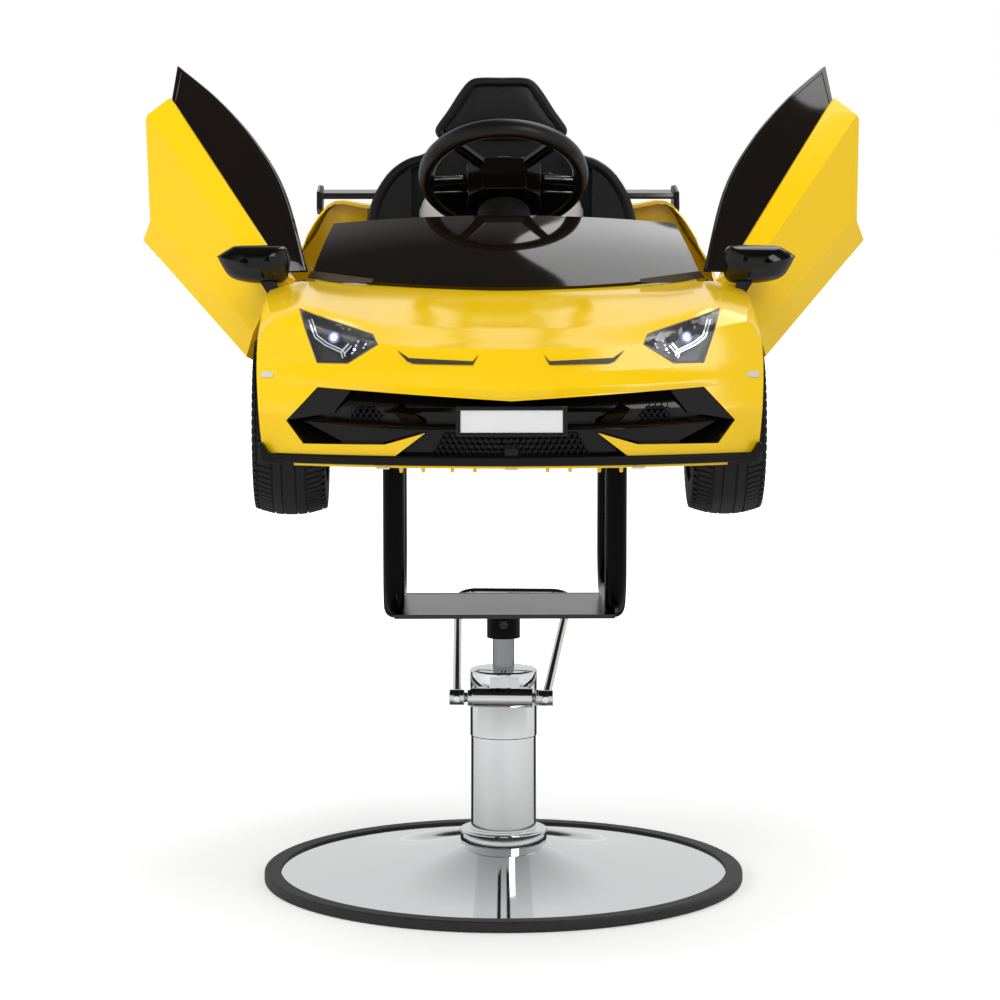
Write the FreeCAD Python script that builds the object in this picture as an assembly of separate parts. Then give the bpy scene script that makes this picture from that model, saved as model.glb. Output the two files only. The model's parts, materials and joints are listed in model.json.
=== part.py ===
import FreeCAD, Part
import math
import os
from FreeCAD import Vector

# Kids car barber chair: a ride-on car body on a hydraulic pump and a round salon base.
# Millimetres. +Z is up and the car faces -Y. The origin is the centre of the base on
# the floor, on the axis that the chair turns on. Heights of the car are given from
# car_ground, the level that its wheels would stand on. The doors are drawn closed and
# then turned open about their hinges, which is how the chair stands at rest.

os.makedirs("parts", exist_ok=True)

# ---- Clearances ----
running_gap = 0.06       # radial, a shaft in its bearing
seat_gap = 0.3           # faces of two bodies that move past each other

# ---- Round base ----
base_radius = 290.0
ring_height = 13.0
ring_width = 20.0
ring_lip_width = 28.0
ring_lip_height = 3.0
ring_round = 3.0
disc_thickness = 6.0
disc_gap = 0.5
cover_wall = 1.5
cover_rise_radius = 150.0
cover_rise_height = 15.0
cover_top_radius = 56.0
cover_top_height = 46.0
hub_radius = 54.0

# ---- Pump ----
sleeve_radius = 39.5
sleeve_wall = 5.5
sleeve_top = 177.0
collar_radius = 52.5
collar_height = 16.0
collar_chamfer = 1.5
cylinder_wall = 4.0
cylinder_floor = 40.0
piston_height = 18.0
lift_stroke = 150.0
piston_room = 32.0       # left above the piston at the top of its stroke
head_radius = 40.5
head_top = 257.0
head_round = 3.0
pump_yaw = -4.0

# ---- Foot lever ----
lever_y = -48.0
lever_z = 229.0
lever_boss_radius = 11.5
lever_boss_half = 37.0
lever_shaft_radius = 6.0
lever_shaft_half = 62.0
clamp_radius = 9.5
clamp_inner = 44.0
clamp_outer = 62.0
lever_rod_radius = 5.25
lever_bar_y = 250.0
lever_bar_z = 315.0
lever_bar_half = 72.0
lever_corner = 25.0
lever_bolt_radius = 4.8
lever_bolt_head = 3.4

# ---- Piston rod and carriage frame ----
piston_groove_low = 7.0
piston_groove_high = 10.0
piston_groove_depth = 2.0
rod_radius = 13.0
socket_radius = 20.0
socket_bottom = 295.0
plate_bottom = 331.0
plate_thickness = 5.0
plate_half_depth = 95.0
side_tube_x = 130.0
side_tube_radius = 12.7
side_tube_wall = 2.0
side_tube_leg_y = 107.5
side_tube_axis_z = 340.0
side_tube_bend = 52.0
foot_size = 42.0
foot_thickness = 4.0
bolt_radius = 3.0
bolt_head_radius = 5.5
bolt_head_height = 4.0

# ---- Car: levels, wheels and floor ----
car_ground = 482.0
# Cutting tools reach this far, past every outside face.
far = 700.0
# Cutting tools for the nose, the lamps and the nose trims stop at these places.
nose_cut_back = -400.0
lamp_cut_back = -350.0
trim_cut_back = -450.0
deck_cut_low = 270.0
lamp_ledge = 5.0
web_half = 236.0
web_back = -440.0
roof = car_ground + 400.0
wheel_radius = 100.0
wheel_width = 78.0
wheel_x = 238.0
axle_height = 100.0
front_axle_y = -325.0
rear_axle_y = 325.0
arch_radius = 118.0
rim_radius = 64.0
hub_wheel_radius = 15.0
axle_radius = 6.0
nut_radius = 9.0
pan_height = 74.0
pan_thickness = 4.0
pan_rim = 16.0
pan_front_half = 146.0
pan_middle_half = 222.0
pan_rear_half = 188.0
pan_front_end = -452.0
pan_middle_front = -195.0
pan_middle_rear = 206.0
pan_rear_end = 500.0

# ---- Car: body shell ----
skin = 4.0
nose_y = -537.0
nose_corner_x = 262.0
nose_corner_y = -482.0
tail_y = 535.0
tail_corner_x = 262.0
tail_corner_y = 500.0
nose_lean_height = 130.0
nose_lean = 0.54
lip_height = 9.3
lip_stand_out = 3.0
flange_thickness = 3.0
sill_height = 147.0

loft_degree = 3
shoulder_index = 3       # which point of a half outline is the shoulder crease
inner_drop = 40.0        # the inside of a shell runs on below it, so that it is open there

# half outlines of the body at each station: (x, height) from the sill up to the middle
front_stations = [
    (-560, [(256, 60), (262, 118), (261, 165), (240, 178), (190, 184), (150, 184), (100, 183), (0, 182)]),
    (-480, [(258, 60), (265, 118), (266, 180), (244, 200), (190, 201), (150, 200), (100, 198), (0, 198)]),
    (-425, [(259, 60), (266, 118), (268, 195), (250, 222), (214, 230), (165, 222), (110, 213), (0, 209)]),
    (-325, [(260, 60), (267, 118), (270, 205), (260, 234), (226, 242), (180, 239), (130, 233), (0, 227)]),
    (-235, [(262, 60), (269, 118), (271, 208), (261, 237), (232, 248), (185, 246), (130, 244), (0, 241)]),
    (-150, [(262, 60), (269, 118), (269, 208), (258, 240), (230, 254), (185, 253), (130, 250), (0, 246)]),
]
rear_stations = [
    (30, [(266, 60), (272, 118), (269, 165), (264, 240), (248, 266), (236, 283), (150, 296), (0, 300)]),
    (190, [(268, 60), (276, 118), (276, 190), (266, 245), (248, 276), (232, 300), (150, 309), (0, 312)]),
    (250, [(268, 60), (278, 118), (280, 200), (270, 250), (240, 290), (212, 331), (148, 325), (0, 324)]),
    (330, [(268, 60), (278, 118), (282, 205), (272, 250), (240, 282), (203, 316), (145, 323), (0, 326)]),
    (450, [(266, 60), (276, 125), (280, 200), (266, 240), (232, 262), (186, 283), (125, 293), (0, 297)]),
    (560, [(256, 60), (266, 130), (268, 185), (252, 215), (222, 236), (170, 250), (110, 258), (0, 262)]),
]

# shut lines of a closed door, seen from the side: (y, height)
hinge_point = Vector(-228, -178, car_ground + 252)
hinge_direction = Vector(0.36, 0.585, 0.727)
door_open_angle = 57.0
door_belt_front = Vector(-256, -190, 243.5)
door_belt_rear = Vector(-235, 187, 283)
door_panel_outline = [(-214, 149), (38, 149), (47, 172), (168, 249), (187, 283), (-176, 245)]
door_sections = [
    (-240, [(-262, 140), (-268, 175), (-265, 220)]),
    (255, [(-268, 140), (-268, 175), (-260, 262)]),
]
door_thickness = 18.0
door_skin = 4.0
door_frame_width = 22.0
window_thickness = 6.0
window_front = -166.0
window_roof = [
    (-226, window_front, 258), (-214, -44, 301), (-209, 53, 316), (-208, 150, 318), (-208, 242, 311),
]
hinge_pin_radius = 4.0
hinge_lug_radius = 8.0
hinge_lug_length = 8.0
hinge_ear_length = 15.0
hinge_top = -4.0         # along the hinge, from hinge_point
fender_edge = [(-262, 40), (-244, 146), (-214, 234), (-206, 300)]
cowl_half = 216.0
cowl_rear = -176.0
rear_edge = [
    (212, 40), (212, 148), (42, 148), (42, 150), (52, 174), (177, 251), (196, 286), (250, 322), (254, 400),
]

# ---- Steering ----
steering_centre = Vector(0, 0, car_ground + 367)
steering_axis = Vector(0, 0.616, 0.788)
steering_rim_radius = 91.5
steering_grip_radius = 9.5
spoke_angles = (8, 172, 48, 132)
wide_spoke = 24.0
narrow_spoke = 15.0
hub_corner = 14.0
horn_pad_radius = 30.0
horn_radius = 17.0
music_radius = 5.0
music_pod_radius = 9.0
steering_hub_width = 74.0
steering_hub_height = 58.0
steering_hub_depth = 46.0
column_radius = 8.0
music_x = 52.0           # on the wheel, right of its middle
music_y = 6.0
tie_rod_y = -385.0
tie_rod_radius = 4.0
tie_rod_rise = 22.0      # above the axle
tie_rod_half = 3.0
crank_pin_y = -230.0
crank_pin_radius = 4.0
kingpin_x = 180.0
kingpin_lug_half = 11.0
steered_arch_radius = 130.0   # room for the front wheel when it is steered
kingpin_radius = 5.0


# ---- Helpers ----
def box(x0, x1, y0, y1, z0, z1):
    return Part.makeBox(x1 - x0, y1 - y0, z1 - z0, Vector(x0, y0, z0))


def cylinder(radius, start, end):
    run = end - start
    return Part.makeCylinder(radius, run.Length, start, run)


def upright(radius, z0, z1, x=0.0, y=0.0):
    return cylinder(radius, Vector(x, y, z0), Vector(x, y, z1))


def ring(inner, outer, z0, z1):
    return upright(outer, z0, z1).cut(upright(inner, z0 - 1, z1 + 1))


def polygon(points):
    return Part.Face(Part.makePolygon(points + [points[0]]))


def prism_x(outline, x0, x1):
    return polygon([Vector(x0, y, z) for y, z in outline]).extrude(Vector(x1 - x0, 0, 0))


def prism_y(outline, y0, y1):
    return polygon([Vector(x, y0, z) for x, z in outline]).extrude(Vector(0, y1 - y0, 0))


def prism_z(outline, z0, z1):
    return polygon([Vector(x, y, z0) for x, y in outline]).extrude(Vector(0, 0, z1 - z0))


def revolve(face, centre, axis):
    return face.revolve(centre, axis, 360)


def fuse(shapes):
    whole = shapes[0]
    if len(shapes) > 1:
        whole = shapes[0].multiFuse(shapes[1:])
    return whole.removeSplitter()


def cut(shape, tools):
    for tool in tools:
        shape = shape.cut(tool)
    return shape


def largest(shape):
    return max(shape.Solids, key=lambda solid: solid.Volume)


def mirrored(shape):
    return shape.mirror(Vector(0, 0, 0), Vector(1, 0, 0))


def both_sides(shape):
    return [shape, mirrored(shape)]


def mirror_point(point):
    return Vector(-point.x, point.y, point.z)


def up(outline):
    """Raise (first, height) pairs from the car's own level to the floor's."""
    return [(first, height + car_ground) for first, height in outline]


def along_y(edge):
    first = edge.Vertexes[0].Point
    last = edge.Vertexes[-1].Point
    run = last - first
    return abs(run.x) < 0.01 and abs(run.z) < 0.01 and abs(run.y) > 1


def yawed(shape):
    turned = shape.copy()
    turned.rotate(Vector(0, 0, 0), Vector(0, 0, 1), pump_yaw)
    return turned


nodes = {}


def save(name, *shapes):
    solids = []
    for shape in shapes:
        solids.extend(shape.Solids)
    whole = solids[0] if len(solids) == 1 else Part.makeCompound(solids)
    nodes[name] = whole
    whole.exportStep("parts/" + name + ".step")


# ---- Round base ----
disc_radius = base_radius - ring_width - disc_gap
disc_top = ring_lip_height + disc_thickness
sleeve_bottom = disc_top
hub_top = cover_top_height - cover_wall


def build_base():
    disc = upright(disc_radius, ring_lip_height, disc_top)
    hub = ring(sleeve_radius, hub_radius, disc_top, hub_top)
    save("base_weight_disc", fuse([disc, hub]))

    def cover_line(drop):
        inner = Vector(cover_top_radius, 0, cover_top_height - drop)
        middle = Vector(cover_rise_radius, 0, disc_top + cover_rise_height + cover_wall - drop)
        outer = Vector(disc_radius, 0, disc_top + cover_wall - drop)
        return inner, Part.Arc(inner, middle, outer).toShape(), outer

    top_in, top_arc, top_out = cover_line(0)
    low_in, low_arc, low_out = cover_line(cover_wall)
    mouth_top = Vector(sleeve_radius + 1, 0, cover_top_height)
    mouth_low = Vector(sleeve_radius + 1, 0, hub_top)
    edges = [
        Part.makeLine(mouth_top, top_in),
        top_arc,
        Part.makeLine(top_out, low_out),
        low_arc,
        Part.makeLine(low_in, mouth_low),
        Part.makeLine(mouth_low, mouth_top),
    ]
    profile = Part.Face(Part.Wire(Part.__sortEdges__(edges)))
    save("base_chrome_cover", revolve(profile, Vector(0, 0, 0), Vector(0, 0, 1)))

    inner = base_radius - ring_width
    section = polygon([
        Vector(base_radius - ring_lip_width, 0, 0),
        Vector(base_radius, 0, 0),
        Vector(base_radius, 0, ring_height),
        Vector(inner, 0, ring_height),
        Vector(inner, 0, ring_lip_height),
        Vector(base_radius - ring_lip_width, 0, ring_lip_height),
    ])
    tyre = revolve(section, Vector(0, 0, 0), Vector(0, 0, 1))
    outer_edges = [e for e in tyre.Edges if abs(e.BoundBox.XMax - base_radius) < 0.01 and len(e.Vertexes) < 2]
    save("base_rubber_ring", tyre.makeFillet(ring_round, outer_edges))


# ---- Pump ----
bore_radius = sleeve_radius - sleeve_wall - cylinder_wall
cylinder_radius = sleeve_radius - sleeve_wall
cylinder_top = cylinder_floor + piston_height + lift_stroke + piston_room
boss_web_half = 9.0


def build_pump():
    collar = ring(sleeve_radius, collar_radius, cover_top_height, cover_top_height + collar_height)
    rim = [e for e in collar.Edges if abs(e.BoundBox.ZMin - cover_top_height - collar_height) < 0.01
           and abs(e.BoundBox.XMax - collar_radius) < 0.01 and abs(e.BoundBox.ZMax - e.BoundBox.ZMin) < 0.01]
    save("pump_flange_collar", collar.makeChamfer(collar_chamfer, rim))
    save("pump_lower_sleeve", ring(cylinder_radius, sleeve_radius, sleeve_bottom, sleeve_top))

    barrel = upright(cylinder_radius, sleeve_bottom, cylinder_top)
    save("pump_cylinder", barrel.cut(upright(bore_radius, cylinder_floor, cylinder_top + 1)))

    head = upright(head_radius, sleeve_top, head_top)
    top_rim = [e for e in head.Edges if abs(e.BoundBox.ZMin - head_top) < 0.01]
    head = head.makeFillet(head_round, top_rim)
    boss = cylinder(lever_boss_radius, Vector(-lever_boss_half, lever_y, lever_z),
                    Vector(lever_boss_half, lever_y, lever_z))
    web = box(-lever_boss_half + 3, lever_boss_half - 3, lever_y, -rod_radius + 1, lever_z - boss_web_half,
              lever_z + boss_web_half)
    shaft_hole = cylinder(lever_shaft_radius + running_gap, Vector(-lever_shaft_half, lever_y, lever_z),
                          Vector(lever_shaft_half, lever_y, lever_z))
    head = cut(fuse([head, boss, web]), [
        shaft_hole,
        upright(cylinder_radius, sleeve_top - 1, cylinder_top),
        upright(rod_radius + running_gap, cylinder_top - 1, head_top + 1),
    ])
    save("pump_head", yawed(head))

    shaft = cylinder(lever_shaft_radius, Vector(-lever_shaft_half, lever_y, lever_z),
                     Vector(lever_shaft_half, lever_y, lever_z))
    save("lever_shaft", yawed(shaft))


def build_lever():
    rear_bar = Vector(lever_bar_half, lever_bar_y, lever_bar_z)
    arm_x = (clamp_inner + clamp_outer) / 2
    start = Vector(arm_x, lever_y, lever_z)
    arm = (rear_bar - start).normalize()
    bend_start = rear_bar - arm * lever_corner
    bend_end = rear_bar - Vector(lever_corner, 0, 0)
    middle = rear_bar - (arm + Vector(1, 0, 0)).normalize() * (lever_corner * 0.42)
    left_bend_start = Vector(-bend_start.x, bend_start.y, bend_start.z)
    left_bend_end = Vector(-bend_end.x, bend_end.y, bend_end.z)
    left_middle = Vector(-middle.x, middle.y, middle.z)
    left_start = Vector(-start.x, start.y, start.z)
    rods = [
        cylinder(lever_rod_radius, start, bend_start),
        cylinder(lever_rod_radius, left_start, left_bend_start),
        cylinder(lever_rod_radius, bend_end, left_bend_end),
    ]
    for first, mid, last in ((bend_start, middle, bend_end), (left_bend_start, left_middle, left_bend_end)):
        bend = Part.Arc(first, mid, last).toShape()
        section = Part.Wire([Part.makeCircle(lever_rod_radius, first, bend.tangentAt(bend.FirstParameter))])
        rods.append(Part.Wire([bend]).makePipeShell([section], True, False))
    clamp_start = Vector(clamp_inner, lever_y, lever_z)
    clamp_end = Vector(clamp_outer, lever_y, lever_z)
    clamp = cylinder(clamp_radius, clamp_start, clamp_end)
    clamp_bore = cylinder(lever_shaft_radius, Vector(-clamp_outer, lever_y, lever_z),
                          Vector(clamp_outer, lever_y, lever_z))
    around = cylinder(clamp_radius, mirror_point(clamp_end), clamp_end)
    save("foot_lever", yawed(fuse(rods).cut(around)))
    save("lever_clamps", *[yawed(c) for c in both_sides(clamp.cut(clamp_bore))])
    front = lever_y - clamp_radius
    seat = Vector(arm_x, front, lever_z)
    head = cylinder(lever_bolt_radius, seat, seat - Vector(0, lever_bolt_head, 0))
    shoulder = [e for e in head.Edges if abs(e.BoundBox.YMin - front + lever_bolt_head) < 0.01]
    head = head.makeFillet(lever_bolt_head * 0.6, shoulder).cut(around)
    seat_disc = cylinder(lever_bolt_radius * 0.6, Vector(arm_x, front - 1, lever_z),
                         Vector(arm_x, front + 2, lever_z)).cut(around)
    bolts = fuse([head, seat_disc])
    save("lever_bolts", *[yawed(b) for b in both_sides(bolts)])


def build_piston():
    piston = upright(bore_radius - running_gap, cylinder_floor, cylinder_floor + piston_height)
    groove = ring(bore_radius - piston_groove_depth, bore_radius + 1, cylinder_floor + piston_groove_low,
                  cylinder_floor + piston_groove_high)
    save("piston_head", piston.cut(groove))
    rod = upright(rod_radius, cylinder_floor + piston_height, plate_bottom)
    save("piston_rod", rod)
    socket = ring(rod_radius, socket_radius, socket_bottom, plate_bottom)
    set_screw_hole = cylinder(bolt_radius, Vector(0, -socket_radius - 5, (socket_bottom + plate_bottom) / 2),
                              Vector(0, -rod_radius + 1, (socket_bottom + plate_bottom) / 2))
    save("rod_socket", socket.cut(set_screw_hole))


# ---- Carriage frame ----
def side_tube(radius):
    bottom = side_tube_axis_z
    top = car_ground + pan_height - foot_thickness
    bend = side_tube_bend
    leg = side_tube_leg_y
    shift = bend * (1 - math.cos(math.radians(45)))
    x = side_tube_x
    path = Part.Wire([
        Part.makeLine(Vector(x, -leg, top), Vector(x, -leg, bottom + bend)),
        Part.Arc(Vector(x, -leg, bottom + bend), Vector(x, -leg + shift, bottom + shift),
                 Vector(x, -leg + bend, bottom)).toShape(),
        Part.makeLine(Vector(x, -leg + bend, bottom), Vector(x, leg - bend, bottom)),
        Part.Arc(Vector(x, leg - bend, bottom), Vector(x, leg - shift, bottom + shift),
                 Vector(x, leg, bottom + bend)).toShape(),
        Part.makeLine(Vector(x, leg, bottom + bend), Vector(x, leg, top)),
    ])
    section = Part.Wire([Part.makeCircle(radius, Vector(x, -leg, top), Vector(0, 0, 1))])
    return path.makePipeShell([section], True, False)


def foot_places():
    return [(side_tube_x, y) for y in (-side_tube_leg_y, side_tube_leg_y)]


def floor_bolt_places():
    reach = foot_size / 2 + 8
    return [(x, y + side * reach) for x, y in foot_places() for side in (-1, 1)]


def build_frame():
    outer = side_tube(side_tube_radius)
    inner = side_tube(side_tube_radius - side_tube_wall)
    floor_z = car_ground + pan_height
    feet = []
    for x, y in foot_places():
        half_x = foot_size / 2
        half_y = foot_size / 2 + 18
        feet.append(box(x - half_x, x + half_x, y - half_y, y + half_y, floor_z - foot_thickness, floor_z))
    holes = [upright(bolt_radius, floor_z - 10, floor_z + 10, x, y) for x, y in floor_bolt_places()]
    tube = fuse([outer.cut(inner)] + [cut(foot, holes) for foot in feet])
    save("side_tube_right", tube)
    save("side_tube_left", mirrored(tube))

    plate = box(-side_tube_x, side_tube_x, -plate_half_depth, plate_half_depth, plate_bottom,
                plate_bottom + plate_thickness)
    plate = cut(plate, [outer, mirrored(outer)])
    middle = [s for s in plate.Solids if s.isInside(Vector(0, 0, plate_bottom + 1), 0.1, True)]
    save("seat_plate", middle[0])

    screw_z = (socket_bottom + plate_bottom) / 2
    hexagon = Part.makePolygon([
        Vector(bolt_head_radius * math.cos(math.radians(60 * i)), -socket_radius,
               screw_z + bolt_head_radius * math.sin(math.radians(60 * i))) for i in range(7)])
    screw_head = Part.Face(hexagon).extrude(Vector(0, -bolt_head_height, 0))
    screw_end = Vector(0, -rod_radius - 0.5, screw_z)
    screw_shank = cylinder(bolt_radius, Vector(0, -socket_radius, screw_z), screw_end)
    bolts = [fuse([screw_head, screw_shank])]
    for x, y in floor_bolt_places():
        shank = upright(bolt_radius, floor_z - foot_thickness, floor_z + pan_thickness, x, y)
        head_top = floor_z - foot_thickness
        nut_bottom = floor_z + pan_thickness
        head = upright(bolt_head_radius, head_top - bolt_head_height, head_top, x, y)
        nut = upright(bolt_head_radius, nut_bottom, nut_bottom + bolt_head_height, x, y)
        bolts.extend(both_sides(fuse([head, shank, nut])))
    save("carriage_bolts", *bolts)


# ---- Floor pan ----
axle_z = car_ground + axle_height
knuckle_half = 14.0
lug_thickness = 6.0
lug_gap = 0.3
seat_box_top = 150.0
seat_box_half = 150.0
seat_box_front = 20.0
seat_box_back = 190.0
seat_box_wall = 4.0
axle_block_inner = 150.0
axle_block_half = 18.0
axle_block_rise = 16.0
post_thickness = 8.0


def pan_outline(inset):
    front = pan_front_half - inset
    middle = pan_middle_half - inset
    rear = pan_rear_half - inset
    right = [
        (front, pan_front_end + inset), (front, pan_middle_front + inset),
        (middle, pan_middle_front + inset), (middle, pan_middle_rear - inset),
        (rear, pan_middle_rear - inset), (rear, pan_rear_end - inset),
    ]
    return right + [(-x, y) for x, y in reversed(right)]


def sill_room(z0, z1):
    """The middle of the car, where the sills stand on the floor pan and take the place of its rim."""
    return box(-pan_middle_half - 1, pan_middle_half + 1, pan_middle_front - 1, pan_middle_rear + 1, z0, z1)


def build_floor():
    floor_z = car_ground + pan_height
    tray = prism_z(pan_outline(0), floor_z, floor_z + pan_rim)
    tray = tray.cut(prism_z(pan_outline(pan_thickness), floor_z + pan_thickness, floor_z + pan_rim + 1))
    tray = tray.cut(sill_room(floor_z + pan_thickness, floor_z + pan_rim + 1))
    additions = []
    lug_y0 = front_axle_y - kingpin_lug_half
    lug_y1 = front_axle_y + kingpin_lug_half
    lug_low_top = axle_z - knuckle_half - lug_gap
    lug_high = axle_z + knuckle_half + lug_gap
    post_x = pan_front_half - pan_thickness
    low_lug = box(post_x, kingpin_x + kingpin_lug_half, lug_y0, lug_y1, floor_z, lug_low_top)
    high_lug = box(post_x, kingpin_x + kingpin_lug_half, lug_y0, lug_y1, lug_high, lug_high + lug_thickness)
    post = box(post_x - post_thickness, post_x, lug_y0, lug_y1, floor_z, lug_high + lug_thickness)
    block = box(axle_block_inner, pan_rear_half - pan_thickness, rear_axle_y - axle_block_half,
                rear_axle_y + axle_block_half, floor_z, axle_z + axle_block_rise)
    for piece in (low_lug, high_lug, post, block):
        additions.extend(both_sides(piece))
    box_low = floor_z + pan_thickness
    box_high = car_ground + seat_box_top
    seat_box = box(-seat_box_half, seat_box_half, seat_box_front, seat_box_back, box_low, box_high)
    room_half = seat_box_half - seat_box_wall
    room_front = seat_box_front + seat_box_wall
    room_back = seat_box_back - seat_box_wall
    room_high = box_high - seat_box_wall
    seat_box = seat_box.cut(box(-room_half, room_half, room_front, room_back, box_low, room_high))
    additions.append(seat_box)
    pan = fuse([tray] + additions)
    pan = cut(pan, [
        cylinder(axle_radius, Vector(-300, rear_axle_y, axle_z), Vector(300, rear_axle_y, axle_z)),
        upright(kingpin_radius + running_gap, floor_z - 1, axle_z + 60, kingpin_x, front_axle_y),
        upright(kingpin_radius + running_gap, floor_z - 1, axle_z + 60, -kingpin_x, front_axle_y),
    ])
    holes = [upright(bolt_radius, floor_z - 1, floor_z + 20, x, y) for x, y in floor_bolt_places()]
    save("floor_pan", cut(pan, holes + [mirrored(h) for h in holes]))


# ---- Door hinges ----
hinge_unit = Vector(hinge_direction)
hinge_unit.normalize()
hinge_low = hinge_top - 2 * hinge_lug_length - hinge_ear_length - 2 * seat_gap


def hinge_cylinder(radius, start, end):
    """Cylinder on the left door's hinge line, from start to end along it."""
    return cylinder(radius, hinge_point + hinge_unit * start, hinge_point + hinge_unit * end)


def hinge_lugs():
    """The two lugs that carry the left door's pin, with arms to the wall inboard of it."""
    lugs = []
    for start in (hinge_low, hinge_top - hinge_lug_length):
        lug = hinge_cylinder(hinge_lug_radius, start, start + hinge_lug_length)
        arm = Part.makeBox(32, 2 * hinge_lug_radius, hinge_lug_length, Vector(0, -hinge_lug_radius, start))
        arm.Placement = FreeCAD.Placement(hinge_point, FreeCAD.Rotation(Vector(0, 0, 1), hinge_unit))
        lugs.append(fuse([lug, arm]))
    return Part.makeCompound(lugs).common(box(-300, -cowl_half + 6, -400, 0, 0, 1000))


# ---- Body forms ----
def smooth_edge(points):
    curve = Part.BSplineCurve()
    curve.interpolate(points)
    return curve.toShape()


def full_section(y, half, inset):
    """Outline across the body: a straight bottom, two smooth sides and a smooth top between the shoulders."""
    bottom = half[0][1] - (inner_drop if inset > 0 else 0)
    right = [Vector(half[0][0] - inset, y, car_ground + bottom)]
    right += [Vector(x - inset, y, car_ground + h - inset) for x, h in half[1:]]
    left = [Vector(-v.x, v.y, v.z) for v in reversed(right)]
    other_shoulder = len(left) - shoulder_index
    side = smooth_edge(right[:shoulder_index + 1])
    top = smooth_edge(right[shoulder_index:-1] + [Vector(0, y, right[-1].z)] + left[1:other_shoulder])
    other_side = smooth_edge(left[other_shoulder - 1:])
    return Part.Wire([side, top, other_side, Part.makeLine(left[-1], right[0])])


def station_loft(stations, inset):
    sections = [full_section(y, half, inset) for y, half in stations]
    return Part.makeLoft(sections, True, False, False, loft_degree)


def plan_face(inset, shift, z):
    """Outline of the car from above, with the bowed nose and tail."""
    nose = nose_y + inset + shift
    corner = nose_corner_y + inset + shift
    x = nose_corner_x - inset
    wide = 300.0
    tail = tail_y - inset
    tail_corner = tail_corner_y - inset
    edges = [
        Part.Arc(Vector(-x, corner, z), Vector(0, nose, z), Vector(x, corner, z)).toShape(),
        Part.makeLine(Vector(x, corner, z), Vector(wide, corner + 60, z)),
        Part.makeLine(Vector(wide, corner + 60, z), Vector(wide, tail_corner - 40, z)),
        Part.makeLine(Vector(wide, tail_corner - 40, z), Vector(x, tail_corner, z)),
        Part.Arc(Vector(x, tail_corner, z), Vector(0, tail, z), Vector(-x, tail_corner, z)).toShape(),
        Part.makeLine(Vector(-x, tail_corner, z), Vector(-wide, tail_corner - 40, z)),
        Part.makeLine(Vector(-wide, tail_corner - 40, z), Vector(-wide, corner + 60, z)),
        Part.makeLine(Vector(-wide, corner + 60, z), Vector(-x, corner, z)),
    ]
    return Part.Face(Part.Wire(edges))


def plan_prism(inset, z0, z1):
    return plan_face(inset, 0, z0).extrude(Vector(0, 0, z1 - z0))


def nose_wall(front, back, low, high):
    """A wall that follows the bow of nose and tail, between two depths behind it and two heights."""
    outer = plan_prism(front, car_ground + low, car_ground + high)
    return outer.cut(plan_prism(back, car_ground + low - 1, car_ground + high + 1))


def leaning_prism(inset):
    low = car_ground + nose_lean_height
    rise = 200.0
    leaning = plan_face(inset, 0, low).extrude(Vector(0, nose_lean * rise, rise))
    below = plan_face(inset, 0, car_ground - 40).extrude(Vector(0, 0, low - car_ground + 40))
    return below.fuse(leaning).removeSplitter()


def front_form(inset):
    form = station_loft(front_stations, inset)
    return form.common(leaning_prism(inset))


def rear_form(inset):
    form = station_loft(rear_stations, inset)
    return form.common(plan_prism(inset, car_ground, roof))


# ---- Openings in the front of the body, seen from the front: (x, height) ----
grille_low = 85.0
grille_high = 158.0
grille_front = 22.0      # depth of the back panel behind the nose
grille_back = 25.0
blade_low = 113.0
blade_high = 119.0
blade_front = 8.0
grille_rib_front = 10.0
grille_rib_back = 23.0
rib_places = (66, 150)
comb_pitch = 6.6
comb_wall = 1.6
plate_half = 58.0
plate_low = 104.5
plate_high = 140.0
plate_frame = 4.5
plate_recess = 1.5
plate_depth = 11.0
plate_stand_out = 3.0
lens_wall = 2.5
lamp_depth = 22.0
lamp_wall = 3.0
trim_stand_out = 1.2
flange_back = 29.0
flange_front = 26.0
jamb_thickness = 6.0
jamb_front = -226.0
jamb_low = 196.0
peg_places = (38, 61.5, 92, 115)
peg_radius = 2.5
peg_low = 65.0
peg_y = -515.0
lower_comb = [(-84, 87), (-72, 104), (72, 104), (84, 87)]
side_comb = [(139, 121), (139, 129), (147, 136), (160, 136), (168, 132), (168, 121)]
mouth_outline = [(-203, 153), (0, 141), (203, 153), (236, 118), (218, 94), (132, 95), (90, 107.6),
                 (123, 82), (-123, 82), (-90, 107.6), (-132, 95), (-218, 94), (-236, 118)]
headlight_outline = [(139, 197), (225, 232), (204, 177), (171, 177)]
trim_outline = [(34, 186), (40, 181), (108, 183), (119, 190), (106, 179), (38, 177)]
shell_bottom = pan_height + lip_height + seat_gap


def grown(outline, amount):
    """Outline moved outwards from its middle by about this amount."""
    middle_x = sum(x for x, h in outline) / len(outline)
    middle_h = sum(h for x, h in outline) / len(outline)
    result = []
    for x, h in outline:
        run = math.hypot(x - middle_x, h - middle_h)
        result.append((x + (x - middle_x) / run * amount, h + (h - middle_h) / run * amount))
    return result


def arch(y, radius=arch_radius):
    return cylinder(radius, Vector(-far, y, axle_z), Vector(far, y, axle_z))


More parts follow.
